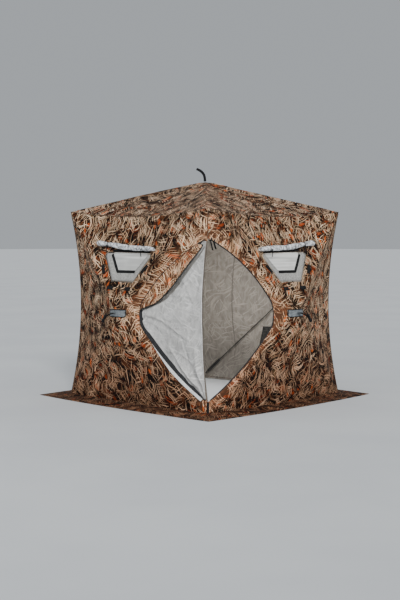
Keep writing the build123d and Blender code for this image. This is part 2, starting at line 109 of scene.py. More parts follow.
# ---- the bowed rim and the cone of cloth ------------------------------------------------------
def bow(t):
    """1 in the middle of an edge and 0 at its ends."""
    return 4 * t * (1 - t)


def unit(vectors):
    """Vectors scaled to length one."""
    vectors = np.asarray(vectors, float)
    return vectors / np.linalg.norm(vectors, axis=-1, keepdims=True)


def round_sides(side, along, out):
    """x and y of points on the four sides of a square ring, counted from the front."""
    turns = [side == 0, side == 1, side == 2]
    return (np.select(turns, [along, out, -along], -out),
            np.select(turns, [-out, along, out], -along))


def rim(q):
    """Rim points (u, z, n) at perimeter places q from 0 to 4: foot, +u seam, eave, -u seam."""
    q = np.asarray(q, float) % 4
    edge = np.floor(q).astype(int)
    t = q - edge
    b = bow(t)
    shapes = [
        (HALF * (2 * t - 1), 0 * t, FOOT_BULGE * b),
        (HALF - CORNER_PULL * b, EAVE * t, -CORNER_PULL * b),
        (HALF * (1 - 2 * t), EAVE - EAVE_DIP * b, -EAVE_PULL * b),
        (-HALF + CORNER_PULL * b, EAVE * (1 - t), -CORNER_PULL * b),
    ]
    return np.stack([np.select([edge == i for i in range(4)], [s[k] for s in shapes])
                     for k in range(3)], -1)


def rim_by_angle():
    """The rim seen from the hub: sorted angles, with its distance and its n at each."""
    points = rim(np.linspace(0, 4, 8001)[:-1])
    angle = np.arctan2(points[:, 1] - HUB_Z, points[:, 0])
    order = np.argsort(angle)
    u, z, n = points[order].T
    return angle[order], np.hypot(u, z - HUB_Z), n


RIM_ANGLE, RIM_REACH, RIM_N = rim_by_angle()


def waves(u, z, scale, seed):
    """Smooth repeatable noise from -1 to 1: sines in uneven directions."""
    rng = np.random.default_rng(seed)
    total = 0 * u
    for _ in range(7):
        a = rng.uniform(0, 2 * math.pi)
        f = scale * rng.uniform(0.6, 1.6)
        total = total + np.sin(f * (u * math.cos(a) + z * math.sin(a)) + rng.uniform(0, 6.28))
    return total / 3.5


def creases(u, z, centre, count, seed, near=0.05, far=0.5):
    """Tension creases that fan out from one point and die away."""
    du, dz = u - centre[0], z - centre[1]
    r = np.hypot(du, dz)
    phase = count * np.arctan2(dz, du) + 1.5 * np.sin(5 * r + seed)
    fade = np.clip((r - near / 2) / near, 0, 1) * np.exp(-r / far)
    return np.sin(phase + seed) * fade


def relief(u, z, seed):
    """Small rise and fall of a wall's cloth over its cone."""
    soft = 0.0022 * waves(u, z, 7, seed) + 0.0010 * waves(u, z, 22, seed + 1)
    fans = 0.0035 * creases(u, z, (0, HUB_Z), 19, seed)
    for cu in (-HALF, HALF):
        fans = fans + 0.0045 * creases(u, z, (cu, EAVE), 26, seed + cu, far=0.3)
        fans = fans + 0.0040 * creases(u, z, (cu, 0), 26, seed + 2 * cu, far=0.25)
    edge = np.minimum(np.minimum(HALF - np.abs(u), z), EAVE - z)
    if seed in (SEED["front"], SEED["right"]):
        edge = np.minimum(edge, door_gap(u, z))
    return (soft + fans) * np.clip(edge / 0.06, 0, 1)


def door_gap(u, z):
    """Distance from the door's outline less its zip's width: the zip holds the cloth flat."""
    points = np.stack([np.ravel(u), np.ravel(z)], -1)
    near = np.hypot(*(points[:, None] - door_line(90)[None]).transpose(2, 0, 1)).min(1)
    return np.clip(near - ZIP_HOLD, 0, None).reshape(np.shape(u))


def height(u, z, seed=None):
    """Outward height n of the wall's cloth at (u, z), with its relief if a seed is given."""
    u, z = np.asarray(u, float), np.asarray(z, float)
    a = np.arctan2(z - HUB_Z, u)
    reach = np.interp(a, RIM_ANGLE, RIM_REACH, period=2 * math.pi)
    n_rim = np.interp(a, RIM_ANGLE, RIM_N, period=2 * math.pi)
    s = np.hypot(u, z - HUB_Z) / reach
    blunt = 0.012 * np.exp(-(np.hypot(u, z - HUB_Z) / 0.05) ** 2)
    smooth = HUB_OUT + s * (n_rim - HUB_OUT) - blunt
    return smooth if seed is None else smooth + relief(u, z, seed)


def world(points, wall):
    """Points (u, z, n) of a wall, in the row frame. The right wall mirrors u, so +u is the door."""
    p = np.asarray(points, float).reshape(-1, 3)
    u = -p[:, 0] if wall == "right" else p[:, 0]
    x, y = u, -(HALF + p[:, 2])
    c, s = math.cos(TURN[wall]), math.sin(TURN[wall])
    return np.stack([x * c - y * s, x * s + y * c, p[:, 1]], -1)


SEED = {"front": 1, "right": 3, "back": 5, "left": 8}


def on_wall(uz, wall, lift=0.0):
    """Row-frame points on a wall's cloth, lifted outward."""
    uz = np.asarray(uz, float).reshape(-1, 2)
    n = height(uz[:, 0], uz[:, 1], SEED[wall]) + lift
    return world(np.stack([uz[:, 0], uz[:, 1], n], -1), wall)


# ---- outlines ---------------------------------------------------------------------------------
def arc(start, middle, end, count):
    """Points of the circular arc through three points."""
    (ax, ay), (bx, by), (cx, cy) = start, middle, end
    d = 2 * (ax * (by - cy) + bx * (cy - ay) + cx * (ay - by))
    a2, b2, c2 = ax * ax + ay * ay, bx * bx + by * by, cx * cx + cy * cy
    ox = (a2 * (by - cy) + b2 * (cy - ay) + c2 * (ay - by)) / d
    oy = (a2 * (cx - bx) + b2 * (ax - cx) + c2 * (bx - ax)) / d
    r = math.hypot(ax - ox, ay - oy)
    t0, t1, t2 = (math.atan2(y - oy, x - ox) for x, y in (start, middle, end))
    span = (t2 - t0) % (2 * math.pi)
    if (t1 - t0) % (2 * math.pi) > span:
        span -= 2 * math.pi
    t = t0 + span * np.linspace(0, 1, count)
    return np.stack([ox + r * np.cos(t), oy + r * np.sin(t)], -1)


def resample(points, count):
    """The same open line with evenly spaced points."""
    points = np.asarray(points, float)
    steps = np.r_[0, np.cumsum(np.linalg.norm(np.diff(points, axis=0), axis=1))]
    at = np.linspace(0, steps[-1], count)
    return np.stack([np.interp(at, steps, points[:, k]) for k in range(points.shape[1])], -1)


def door_line(count=240):
    """The door's outline from its top tip round the corner to its bottom tip."""
    line = np.concatenate([arc(*DOOR_ARCS[0], 200), arc(*DOOR_ARCS[1], 60)[1:],
                           arc(*DOOR_ARCS[2], 200)[1:]])
    return resample(line, count)


def shifted(line, by):
    """A line in the plane moved sideways: positive is away from the door."""
    tangent = unit(np.gradient(line, axis=0))
    return line + by * np.stack([tangent[:, 1], -tangent[:, 0]], -1)


def rounded(corners, radius, steps=6):
    """Closed outline of a polygon with rounded corners."""
    pts = [np.array(c, float) for c in corners]
    out = []
    for i, p in enumerate(pts):
        a, b = unit(pts[i - 1] - p), unit(pts[(i + 1) % len(pts)] - p)
        half = math.acos(float(np.clip(a @ b, -1, 1))) / 2
        cut = radius / math.tan(half)
        centre = p + unit(a + b) * radius / math.sin(half)
        start, end = p + a * cut - centre, p + b * cut - centre
        out += [centre + radius * unit(start * (1 - k / steps) + end * (k / steps))
                for k in range(steps + 1)]
    return np.array(out)


def winding(outline):
    """1 for a counter-clockwise outline, -1 for a clockwise one."""
    x, y = outline.T
    return np.sign(np.sum(x * np.roll(y, -1) - y * np.roll(x, -1)))


def grown(outline, by):
    """A convex outline moved out (positive) or in along its normals."""
    tangent = unit(np.roll(outline, -1, 0) - np.roll(outline, 1, 0))
    return outline + by * winding(outline) * np.stack([tangent[:, 1], -tangent[:, 0]], -1)


def closed_resample(outline, count):
    """A closed outline with evenly spaced points."""
    return resample(np.concatenate([outline, outline[:1]]), count + 1)[:-1]


def inside_depth(points, outline):
    """Signed distance into a convex outline."""
    edge = np.roll(outline, -1, 0) - outline
    keep = np.linalg.norm(edge, axis=1) > 1e-9
    along = unit(edge[keep])
    normal = winding(outline) * np.stack([-along[:, 1], along[:, 0]], -1)
    return (np.einsum("pk,ek->pe", points, normal) - np.sum(outline[keep] * normal, 1)).min(1)


# ---- meshes -----------------------------------------------------------------------------------
def make(name, verts, faces, materials, cloth=None, smooth=True):
    """A mesh object with its materials and, if given, the cloth coordinates of its pattern."""
    mesh = bpy.data.meshes.new(name)
    mesh.from_pydata([tuple(map(float, v)) for v in verts], [], [tuple(f) for f in faces])
    for material in materials:
        mesh.materials.append(material)
    mesh.polygons.foreach_set("use_smooth", [smooth] * len(mesh.polygons))
    if cloth is not None:
        layer = mesh.attributes.new("cloth", "FLOAT_VECTOR", "POINT")
        flat = np.zeros((len(verts), 3), np.float32)
        flat[:, :2] = np.reshape(cloth, (len(verts), -1))[:, :2]
        layer.data.foreach_set("vector", flat.ravel())
    mesh.update()
    piece = bpy.data.objects.new(name, mesh)
    bpy.context.collection.objects.link(piece)
    return piece


def grid_faces(rows, columns, closed=False):
    """Quads of a grid of points stored row by row."""
    faces = []
    for i in range(rows - 1):
        for j in range(columns - (0 if closed else 1)):
            k = (j + 1) % columns
            faces.append((i * columns + j, i * columns + k, (i + 1) * columns + k,
                          (i + 1) * columns + j))
    return faces


def rod_faces(rows, columns):
    """Faces of a rod whose rings of points are stored in turn, with both ends closed."""
    last = (rows - 1) * columns
    ends = [tuple(range(columns))[::-1], tuple(last + j for j in range(columns))]
    return grid_faces(rows, columns, closed=True) + ends


def thicken(piece, thickness, inner_slot=0):
    """Gives a sheet its thickness behind its face."""
    mod = piece.modifiers.new("thickness", "SOLIDIFY")
    mod.thickness = thickness
    mod.offset = -1
    mod.use_even_offset = False
    mod.material_offset = inner_slot
    apply_modifiers(piece)


def apply_modifiers(piece):
    """Bakes a piece's modifiers into its mesh."""
    graph = bpy.context.evaluated_depsgraph_get()
    baked = bpy.data.meshes.new_from_object(piece.evaluated_get(graph), depsgraph=graph)
    old = piece.data
    piece.modifiers.clear()
    piece.data = baked
    baked.name = piece.name
    bpy.data.meshes.remove(old)


def face_outward(piece, direction):
    """Turns a sheet over if its normals point against the given direction."""
    total = Vector((0, 0, 0))
    for polygon in piece.data.polygons:
        total += polygon.normal * polygon.area
    if total.dot(Vector(direction)) < 0:
        piece.data.flip_normals()


def sewn(name, points, faces, materials, side, thickness, cloth=None, nodes=()):
    """A sheet of cloth that faces one way, its last material behind."""
    piece = make(name, np.reshape(points, (-1, 3)), faces, materials, cloth)
    face_outward(piece, side)
    thicken(piece, thickness, inner_slot=len(materials) - 1)
    if nodes:
        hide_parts(*nodes)
    return piece


def outward(wall):
    """The direction that a wall faces."""
    return np.array((math.sin(TURN[wall]), -math.cos(TURN[wall]), 0))


def face_area(points, faces):
    """Area of a surface given by its points and faces."""
    points = np.asarray(points, float).reshape(-1, 3)
    fans = np.array([(f[0], f[i], f[i + 1]) for f in faces for i in range(1, len(f) - 1)])
    a, b, c = (points[fans[:, k]] for k in range(3))
    return float(np.linalg.norm(np.cross(b - a, c - a), axis=1).sum() / 2)


def cut_area(uz, faces):
    """Area of a wall's cloth as it was cut: on the smooth cone, before creases and slack."""
    u, z = np.asarray(uz, float).reshape(-1, 2).T
    return face_area(np.stack([u, z, height(u, z)], -1), faces)


def bend_as(piece, cloth_points):
    """Writes the given points into the piece, bakes its transform, and puts its rest points back.
    """
    verts = piece.data.vertices
    rest = np.zeros(3 * len(verts))
    verts.foreach_get("co", rest)
    verts.foreach_set("co", np.asarray(cloth_points).ravel())
    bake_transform(piece)
    verts.foreach_set("co", rest)
    piece.data.update()


def bend_wall(piece, wall):
    """Finds the piece's points on its wall's cloth and passes them to bend_as."""
    c, s = math.cos(TURN[wall]), math.sin(TURN[wall])
    x, y, z = np.array([v.co for v in piece.data.vertices]).T
    u = (x * c + y * s) * (-1 if wall == "right" else 1)
    bend_as(piece, on_wall(np.stack([u, z], -1), wall))


def hang(piece, nodes=(), wall=None, body="root"):
    """Hides the CAD nodes a piece replaces, passes it to bend_wall for a wall, else hangs it on a
    body.
    """
    if nodes:
        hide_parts(*nodes)
    if wall:
        bend_wall(piece, wall)
    else:
        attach(piece, body)


def square_to(along, direction):
    """Unit vectors square to a line's tangents, nearest to a direction."""
    return unit(direction - along * (along @ direction)[..., None])


def tube(name, points, radius, material, sides=8):
    """Round tube along a line of points, closed at both ends."""
    points = np.asarray(points, float)
    tangent = unit(np.gradient(points, axis=0))
    side = np.cross(tangent[0], (0.31, 0.17, 0.93))
    a = np.linspace(0, 2 * math.pi, sides, endpoint=False)[:, None]
    rings = []
    for point, along in zip(points, tangent):
        side = square_to(along, side)
        rings.append(point + radius * (np.cos(a) * side + np.sin(a) * np.cross(along, side)))
    return make(name, np.concatenate(rings), rod_faces(len(points), sides), [material])


RIBBON_HALF = [(-0.5, 0), (-0.47, 0.42), (-0.3, 0.5), (0, 0.5), (0.3, 0.5), (0.47, 0.42)]
RIBBON_PROFILE = RIBBON_HALF + [(-a, -b) for a, b in RIBBON_HALF]


def ribbon(name, centre, across, up, width, thick, material):
    """Flat webbing with rounded edges along a line; across and up are unit vectors."""
    rings = [centre + np.asarray(across) * (width * a) + np.asarray(up) * (thick * b)
             for a, b in RIBBON_PROFILE]
    return make(name, np.stack(rings, 1).reshape(-1, 3),
                rod_faces(len(centre), len(RIBBON_PROFILE)), [material])


def join(name, pieces):
    """Joins mesh objects that share a body into one piece."""
    bpy.ops.object.select_all(action="DESELECT")
    for piece in pieces:
        piece.select_set(True)
    bpy.context.view_layer.objects.active = pieces[0]
    bpy.ops.object.join()
    pieces[0].name = name
    pieces[0].data.name = name
    return pieces[0]


# ---- materials --------------------------------------------------------------------------------
class Shader:
    """Builds one principled material from nodes."""

    def __init__(self, name, roughness, **sockets):
        self.material = bpy.data.materials.new(name)
        self.material.use_nodes = True
        self.tree = self.material.node_tree
        self.shader = self.tree.nodes["Principled BSDF"]
        self.shader.inputs["Roughness"].default_value = roughness
        for key, value in sockets.items():
            self.shader.inputs[key.replace("_", " ")].default_value = value

    def set(self, socket, value):
        """Links a node's output, or sets a number or colour."""
        if hasattr(value, "is_output"):
            self.tree.links.new(value, socket)
        else:
            socket.default_value = value

    def node(self, kind, inputs=(), **settings):
        """Adds a node with its settings and its inputs, given by place or by name."""
        node = self.tree.nodes.new(kind)
        for key, value in settings.items():
            setattr(node, key, value)
        for key, value in dict(inputs).items():
            self.set(node.inputs[key], value)
        return node

    def math(self, operation, a, b=0.0, c=0.0, clamp=False):
        return self.node("ShaderNodeMath", enumerate((a, b, c)), operation=operation,
                         use_clamp=clamp).outputs[0]

    def vector(self, operation, a, b=(0, 0, 0)):
        return self.node("ShaderNodeVectorMath", {0: a, 1: b}, operation=operation).outputs[0]

    def mix(self, factor, a, b, blend="MIX", clamp=False):
        return self.node("ShaderNodeMix", {0: factor, 6: a, 7: b}, data_type="RGBA",
                         blend_type=blend, clamp_result=clamp).outputs[2]

    def times(self, a, b, clamp=False):
        """The product of two colours."""
        return self.mix(1.0, a, b, "MULTIPLY", clamp)

    def ramp(self, factor, *stops):
        """A smooth ramp of colours, or of greys given as one number, over (place, tone) stops."""
        node = self.node("ShaderNodeValToRGB", {0: factor})
        node.color_ramp.interpolation = "EASE"
        for _ in stops[2:]:
            node.color_ramp.elements.new(0.5)
        for element, (place, tone) in zip(node.color_ramp.elements, stops):
            element.position = place
            element.color = (*(tone if np.ndim(tone) else (tone,) * 3), 1)
        return node.outputs[0]

    def noise(self, place, scale, detail=3.0, roughness=0.55, distortion=0.0, output="Fac"):
        inputs = {"Vector": place, "Scale": scale, "Detail": detail, "Roughness": roughness,
                  "Distortion": distortion}
        return self.node("ShaderNodeTexNoise", inputs).outputs[output]

    def object_place(self):
        return self.node("ShaderNodeTexCoord").outputs["Object"]

    def cloth_place(self):
        return self.node("ShaderNodeAttribute", attribute_name="cloth").outputs["Vector"]

    def cloth_uz(self):
        """Places across and up the cloth's own pattern, as two numbers."""
        return self.node("ShaderNodeSeparateXYZ", {0: self.cloth_place()}).outputs[:2]

    def bent(self, place, scale, amount, shift=0.0):
        """A place pushed about by soft noise, which turns straight shapes into curves."""
        drift = self.noise(self.vector("ADD", place, (shift, 0, 0)), scale, 1.5, output="Color")
        push = self.node("ShaderNodeVectorMath", operation="SCALE",
                         inputs={0: self.vector("SUBTRACT", drift, (0.5, 0.5, 0.5)),
                                 "Scale": amount})
        return self.vector("ADD", place, push.outputs[0])

    def weave(self, place, pitch):
        """Plain weave: two crossed waves."""
        inputs = {"Vector": place, "Scale": 0.5 / pitch, "Distortion": 0.4}
        threads = (self.node("ShaderNodeTexWave", inputs, bands_direction=axis) for axis in "XY")
        return self.math("MULTIPLY", *(thread.outputs["Fac"] for thread in threads))

    def bump(self, height_socket, strength, distance):
        inputs = {"Strength": strength, "Distance": distance, "Height": height_socket}
        self.set(self.shader.inputs["Normal"], self.node("ShaderNodeBump", inputs).outputs[0])

    def colour(self, value):
        self.set(self.shader.inputs["Base Color"], value)
        return self.material


# Layers of the camouflage print, from the back: angle, length, width, share, size, dark, light.
CAMO_BLADES = (
    (68, 0.26, 0.045, 0.70, 0.48, (0.045, 0.017, 0.008), (0.165, 0.064, 0.027)),
    (-40, 0.24, 0.042, 0.60, 0.46, (0.035, 0.014, 0.007), (0.215, 0.086, 0.036)),
    (12, 0.18, 0.032, 0.50, 0.45, (0.004, 0.003, 0.002), (0.014, 0.008, 0.005)),
    (112, 0.20, 0.026, 0.20, 0.44, (0.055, 0.050, 0.030), (0.150, 0.135, 0.085)),
    (30, 0.110, 0.058, 0.24, 0.40, (0.250, 0.060, 0.018), (0.540, 0.155, 0.044)),
    (-70, 0.19, 0.0084, 0.24, 0.42, (0.130, 0.060, 0.028), (0.340, 0.175, 0.088)),
    (52, 0.18, 0.0080, 0.24, 0.42, (0.130, 0.062, 0.030), (0.390, 0.215, 0.116)),
    (20, 0.16, 0.0078, 0.22, 0.42, (0.130, 0.092, 0.056), (0.340, 0.265, 0.170)),
    (-20, 0.13, 0.0120, 0.44, 0.42, (0.004, 0.003, 0.002), (0.012, 0.007, 0.005)),
    (95, 0.085, 0.044, 0.09, 0.38, (0.400, 0.110, 0.030), (0.740, 0.290, 0.090)),
    (40, 0.17, 0.0066, 0.26, 0.40, (0.700, 0.560, 0.400), (1.000, 0.960, 0.820)),
    (-55, 0.16, 0.0064, 0.26, 0.40, (0.640, 0.500, 0.350), (1.000, 0.940, 0.800)),
    (84, 0.17, 0.0066, 0.26, 0.40, (0.640, 0.520, 0.370), (1.000, 0.920, 0.770)),
    (-8, 0.14, 0.0062, 0.20, 0.40, (0.500, 0.400, 0.290), (0.940, 0.850, 0.700)),
    (62, 0.13, 0.0074, 0.28, 0.40, (0.004, 0.003, 0.002), (0.012, 0.008, 0.005)),
)


DOOR_GORE_LIGHT = {"front": 1.35, "right": 1.45}      # painted light: how much lighter the gore beside the door is made, where it faces the lamp
DOOR_LIGHT_HAZE = 0.10        # share of plain tan in that painted light
DOOR_LIGHT_TAN = (0.72, 0.38, 0.22, 1)
PRINT_CONTRAST = 1.30   # gamma of the print, and the gain that keeps its middle tone
PRINT_GAIN = 1.30


def blade_layer(shader, place, under, angle, length, width, share, size, dark, light,
                edge_dark=0.22):
    """Curved blades in one direction, painted over what lies under them."""
    turned = shader.node("ShaderNodeVectorRotate", {"Vector": place, "Angle": math.radians(angle)},
                         rotation_type="Z_AXIS").outputs[0]
    stretched = shader.vector("MULTIPLY", turned, (1 / length, 1 / width, 0))
    cells = shader.node("ShaderNodeTexVoronoi", {"Vector": stretched, "Scale": 1.0},
                        voronoi_dimensions="2D").outputs
    chance = shader.node("ShaderNodeSeparateColor", {0: cells["Color"]}).outputs
    near = cells["Distance"]
    shape = shader.math("MULTIPLY", shader.math("SUBTRACT", size, near), 14.0, clamp=True)
    there = shader.math("LESS_THAN", chance[0], share)
    tint = shader.mix(chance[1], (*dark, 1), (*light, 1))
    edge = shader.math("MULTIPLY_ADD", near, -0.9 / size, 1.25, clamp=True)
    shaded = shader.times(tint, shader.ramp(edge, (0, edge_dark), (1, 1)))
    return shader.mix(shader.math("MULTIPLY", shape, there), under, shaded)


def camouflage(name, seed, tint=(0.87, 0.70, 0.60), foot_shade_tint=(0.66, 0.56, 0.52), door_light=1.0):
    """Printed reeds, twigs and oak leaves on woven polyester.

    Painted shade darkens it towards the foot, and painted light brightens the gore beside the door.
    """
    shader = Shader(name, 0.85, Specular_IOR_Level=0.15)
    place = shader.vector("ADD", shader.cloth_place(), (3.1 * seed, 1.7 * seed, 0))
    bends = [shader.bent(place, scale, amount, 50 * amount)
             for scale, amount in ((2.6, 0.30), (3.4, 0.26))]
    colour = shader.ramp(shader.noise(place, 16, 5, 0.65), (0.36, (0.006, 0.005, 0.004)),
                         (0.52, (0.050, 0.027, 0.016)), (0.68, (0.130, 0.070, 0.040)))
    for i, blade in enumerate(CAMO_BLADES):
        offset = shader.vector("ADD", bends[i % 2], (0.37 * i, 0.61 * i, 0))
        colour = blade_layer(shader, offset, colour, *blade)
    fade = shader.ramp(shader.noise(place, 2.2, 2), (0.3, (0.72, 0.70, 0.68)), (0.7, 1))
    colour = shader.node("ShaderNodeGamma", {0: shader.times(colour, fade),
                                             1: PRINT_CONTRAST}).outputs[0]
    u, z = shader.cloth_uz()
    # painted shade: the colour darkens towards the foot, where the lower gores face down
    if foot_shade_tint:
        colour = shader.times(colour, shader.ramp(z, (0.15, foot_shade_tint), (0.95, 1)))
    # painted light: the wedge of gore beside the door is lightened and hazed with tan
    if door_light > 1:
        rise = shader.math("ABSOLUTE", shader.math("SUBTRACT", z, HUB_Z))
        wedge = shader.math("MULTIPLY", shader.math("SUBTRACT", u, rise), 9.0, clamp=True)
        lighter = shader.times(colour, (door_light,) * 3 + (1,))
        colour = shader.mix(wedge, colour, shader.mix(DOOR_LIGHT_HAZE, lighter, DOOR_LIGHT_TAN))
    colour = shader.times(colour, (*(PRINT_GAIN * c for c in tint), 1), clamp=True)
    crumple = shader.noise(place, 38, 3, 0.6)
    shader.bump(shader.math("MULTIPLY_ADD", shader.weave(place, 0.0022), 0.25, crumple),
                0.35, 0.0016)
    return shader.colour(colour)


def lining(name, dark, light, seed, printed=0.0, rumple=0.45, floor_shade=1.0, crinkle_and_shade=0.0):
    """Plain inner side with fine rumples; on the walls the print faintly shows through."""
    shader = Shader(name, 0.85, Sheen_Weight=0.05)
    place = shader.vector("ADD", shader.cloth_place(), (5.3 * seed, 2.9 * seed, 0))
    streak = shader.noise(shader.vector("MULTIPLY", place, (1, 0.35, 1)), 30, 4, 0.62)
    blotch = shader.math("MULTIPLY", shader.noise(place, 6, 3), 0.35)
    colour = shader.ramp(shader.math("MULTIPLY_ADD", streak, 0.65, blotch),
                         (0.34, dark), (0.62, light))
    if printed:
        bent = shader.bent(place, 3, 0.3)
        for angle, shift in ((40, 1.0), (-55, 0.8), (80, -1.0), (10, 0.9)):
            tone = tuple((1 + printed * shift) * c for c in light)
            colour = blade_layer(shader, bent, colour, angle, 0.20, 0.016, 0.22, 0.4, tone, tone,
                                 edge_dark=0.8)
    # painted shade: the lining darkens towards the floor
    if floor_shade < 1:
        depth = shader.ramp(shader.cloth_uz()[1], (0.12, floor_shade), (0.62, 1))
        colour = shader.times(colour, depth)
    relief = shader.noise(shader.vector("MULTIPLY", place, (1, 0.5, 1)), 14, 3, 0.6)
    relief = shader.math("MULTIPLY_ADD", shader.weave(place, 0.002), 0.12, relief)
    # crinkles: crests raised in the bump, the colour darkened along them as painted shade, and
    # darker in broad patches
    if crinkle_and_shade:
        for scale, share in ((7.0, 1.0), (17.0, 0.6)):
            swell = shader.noise(place, scale, 2.5, 0.5, distortion=0.6)
            off = shader.math("ABSOLUTE", shader.math("SUBTRACT", swell, 0.5))
            crest = shader.math("SUBTRACT", 1.0, shader.math("MULTIPLY", off, 22.0, clamp=True))
            relief = shader.math("MULTIPLY_ADD", crest, 0.30 * share, relief)
            grey = shader.ramp(crest, (0.0, 1 - 0.35 * crinkle_and_shade * share), (0.9, 1))
            colour = shader.times(colour, grey)
        patches = shader.ramp(shader.noise(place, 2.6, 2), (0.35, 1 - 0.6 * crinkle_and_shade), (0.65, 1))
        colour = shader.times(colour, patches)
    shader.bump(relief, rumple, 0.006 + 0.02 * crinkle_and_shade)
    return shader.colour(colour)


def woven(name, dark, light, pitch, roughness=0.75, rough_scale=90, bump=0.0006):
    """Webbing, tape or small cloth, patterned in object space."""
    shader = Shader(name, roughness, Specular_IOR_Level=0.2)
    place = shader.object_place()
    grain = shader.noise(place, rough_scale, 4, 0.6)
    ribs = shader.node("ShaderNodeTexVoronoi", {"Vector": place, "Scale": 1 / pitch})
    shader.bump(shader.math("ADD", ribs.outputs["Distance"], grain), 0.5, bump)
    return shader.colour(shader.ramp(grain, (0.35, dark), (0.65, light)))


def moulded(name, dark, light, roughness, scale=60, **sockets):
    """Moulded plastic, rubber, fibreglass or painted metal with fine mottling and wear."""
    shader = Shader(name, roughness, **sockets)
    place = shader.object_place()
    grain = shader.noise(place, scale, 5, 0.6)
    wear = shader.noise(place, 9, 3)
    gloss = {"Value": wear, "To Min": max(0.05, roughness - 0.12),
             "To Max": min(1.0, roughness + 0.12)}
    shader.set(shader.shader.inputs["Roughness"],
               shader.node("ShaderNodeMapRange", gloss).outputs[0])
    shader.bump(grain, 0.3, 0.0003)
    mottled = shader.ramp(grain, (0.3, dark), (0.7, light))
    return shader.colour(shader.mix(shader.math("MULTIPLY", wear, 0.5), mottled, (*light, 1)))


def clear_film():
    """Pale clear window film, slightly rippled."""
    shader = Shader("clear_film", 0.10, IOR=1.45, Alpha=0.62)
    place = shader.object_place()
    ripple = shader.noise(shader.vector("MULTIPLY", place, (1, 1, 2.5)), 9, 2)
    streaks = shader.noise(shader.vector("MULTIPLY", place, (0.5, 0.5, 14)), 3, 3)
    shader.bump(ripple, 0.4, 0.006)
    return shader.colour(shader.ramp(streaks, (0.35, (0.60, 0.60, 0.58)),
                                     (0.62, (0.88, 0.88, 0.85))))


CAMO = {name: camouflage(f"camo_{name}", i, door_light=DOOR_GORE_LIGHT.get(name, 1.0))
        for i, name in enumerate(WALLS)}
CAMO["roof"] = camouflage("camo_roof", 4, (0.80, 0.65, 0.58), None)
CAMO["skirt"] = camouflage("camo_skirt", 5, (0.38, 0.23, 0.17), None)
LINING = lining("lining_taupe", (0.330, 0.290, 0.245), (0.500, 0.450, 0.388), 1, printed=0.20,
                 floor_shade=0.55, crinkle_and_shade=0.18)
FLAP_CLOTH = lining("flap_grey", (0.500, 0.490, 0.472), (0.790, 0.776, 0.750), 2, printed=0.09,
                    rumple=0.9, crinkle_and_shade=0.30)
# dark grey facing behind the draught strip, also laid on the flap as the strip's painted shadow
FACING_AND_SHADOW = lining("facing_and_shadow_grey", (0.110, 0.104, 0.092), (0.200, 0.192, 0.176), 3)
STORM_CLOTH = woven("storm_cloth", (0.52, 0.52, 0.51), (0.74, 0.74, 0.73), 0.004)
WINDOW_CLOTH = woven("window_cloth", (0.24, 0.235, 0.22), (0.40, 0.39, 0.37), 0.005, 0.9)
STRIP_CLOTH = woven("fold_strip", (0.15, 0.125, 0.10), (0.24, 0.205, 0.17), 0.004)
LINING_SEAM = woven("lining_seam", (0.20, 0.175, 0.15), (0.28, 0.25, 0.22), 0.004)
# white cover cloth: its dark mottling is painted shade of the roll's crinkles
COVER_CLOTH_AND_SHADE = woven("cover_cloth", (0.20, 0.20, 0.20), (0.92, 0.93, 0.95), 0.006, 0.6, 40, 0.005)
WEBBING = woven("webbing", (0.004, 0.004, 0.004), (0.013, 0.013, 0.014), 0.0022, 0.85, 140)
PIPING = woven("piping", (0.012, 0.011, 0.010), (0.035, 0.032, 0.028), 0.0025, 0.7)
BINDING = woven("binding", (0.045, 0.028, 0.018), (0.160, 0.110, 0.075), 0.004, 0.8, 60)
ZIP = woven("zip", (0.010, 0.010, 0.011), (0.030, 0.030, 0.032), 0.0030, 0.55)
PATCH_CLOTH = woven("patch_cloth", (0.125, 0.140, 0.152), (0.190, 0.208, 0.222), 0.003, 0.7, 50)
FILM = clear_film()
NYLON = moulded("hub_nylon", (0.010, 0.010, 0.011), (0.028, 0.028, 0.030), 0.45)
FIBREGLASS = moulded("fibreglass", (0.010, 0.010, 0.010), (0.030, 0.029, 0.028), 0.35, 45)
RUBBER = moulded("seat_rubber", (0.012, 0.012, 0.012), (0.030, 0.030, 0.030), 0.8)
SLIDER = moulded("slider_metal", (0.015, 0.015, 0.016), (0.05, 0.05, 0.055), 0.3, Metallic=0.6)


# ---- walls ------------------------------------------------------------------------------------
WALL_CELLS = 144        # cells along each side of a wall's grid, and of the roof's
ROOF_CELLS = 128
SEAM_BACK = 0.0015      # the cloth stops this short of the seam line


def door_region():
    """Convex outline of everything on the door's side of its outline."""
    line = door_line(160)
    return np.concatenate([line, [(2.0, DOOR_FOOT), (2.0, DOOR_TOP)]])


def patch_region(grow=PATCH_GAP):
    w, h = PATCH[0] / 2 + grow, PATCH[1] / 2 + grow
    return np.array([(-w, PATCH_Z - h), (w, PATCH_Z - h), (w, PATCH_Z + h), (-w, PATCH_Z + h)])


def square_grid(cells):
    """Perimeter place q and share s from hub to rim, for a grid of nested squares."""
    a, b = np.meshgrid(np.linspace(-1, 1, cells + 1), np.linspace(-1, 1, cells + 1))
    s = np.maximum(np.abs(a), np.abs(b))
    safe = np.where(s > 0, s, 1)
    x, y = a / safe, b / safe
    q = np.select([np.isclose(y, -1), np.isclose(x, 1), np.isclose(y, 1)],
                  [(x + 1) / 2, 1 + (y + 1) / 2, 2 + (1 - x) / 2], 3 + (1 - y) / 2)
    return q.ravel(), s.ravel()


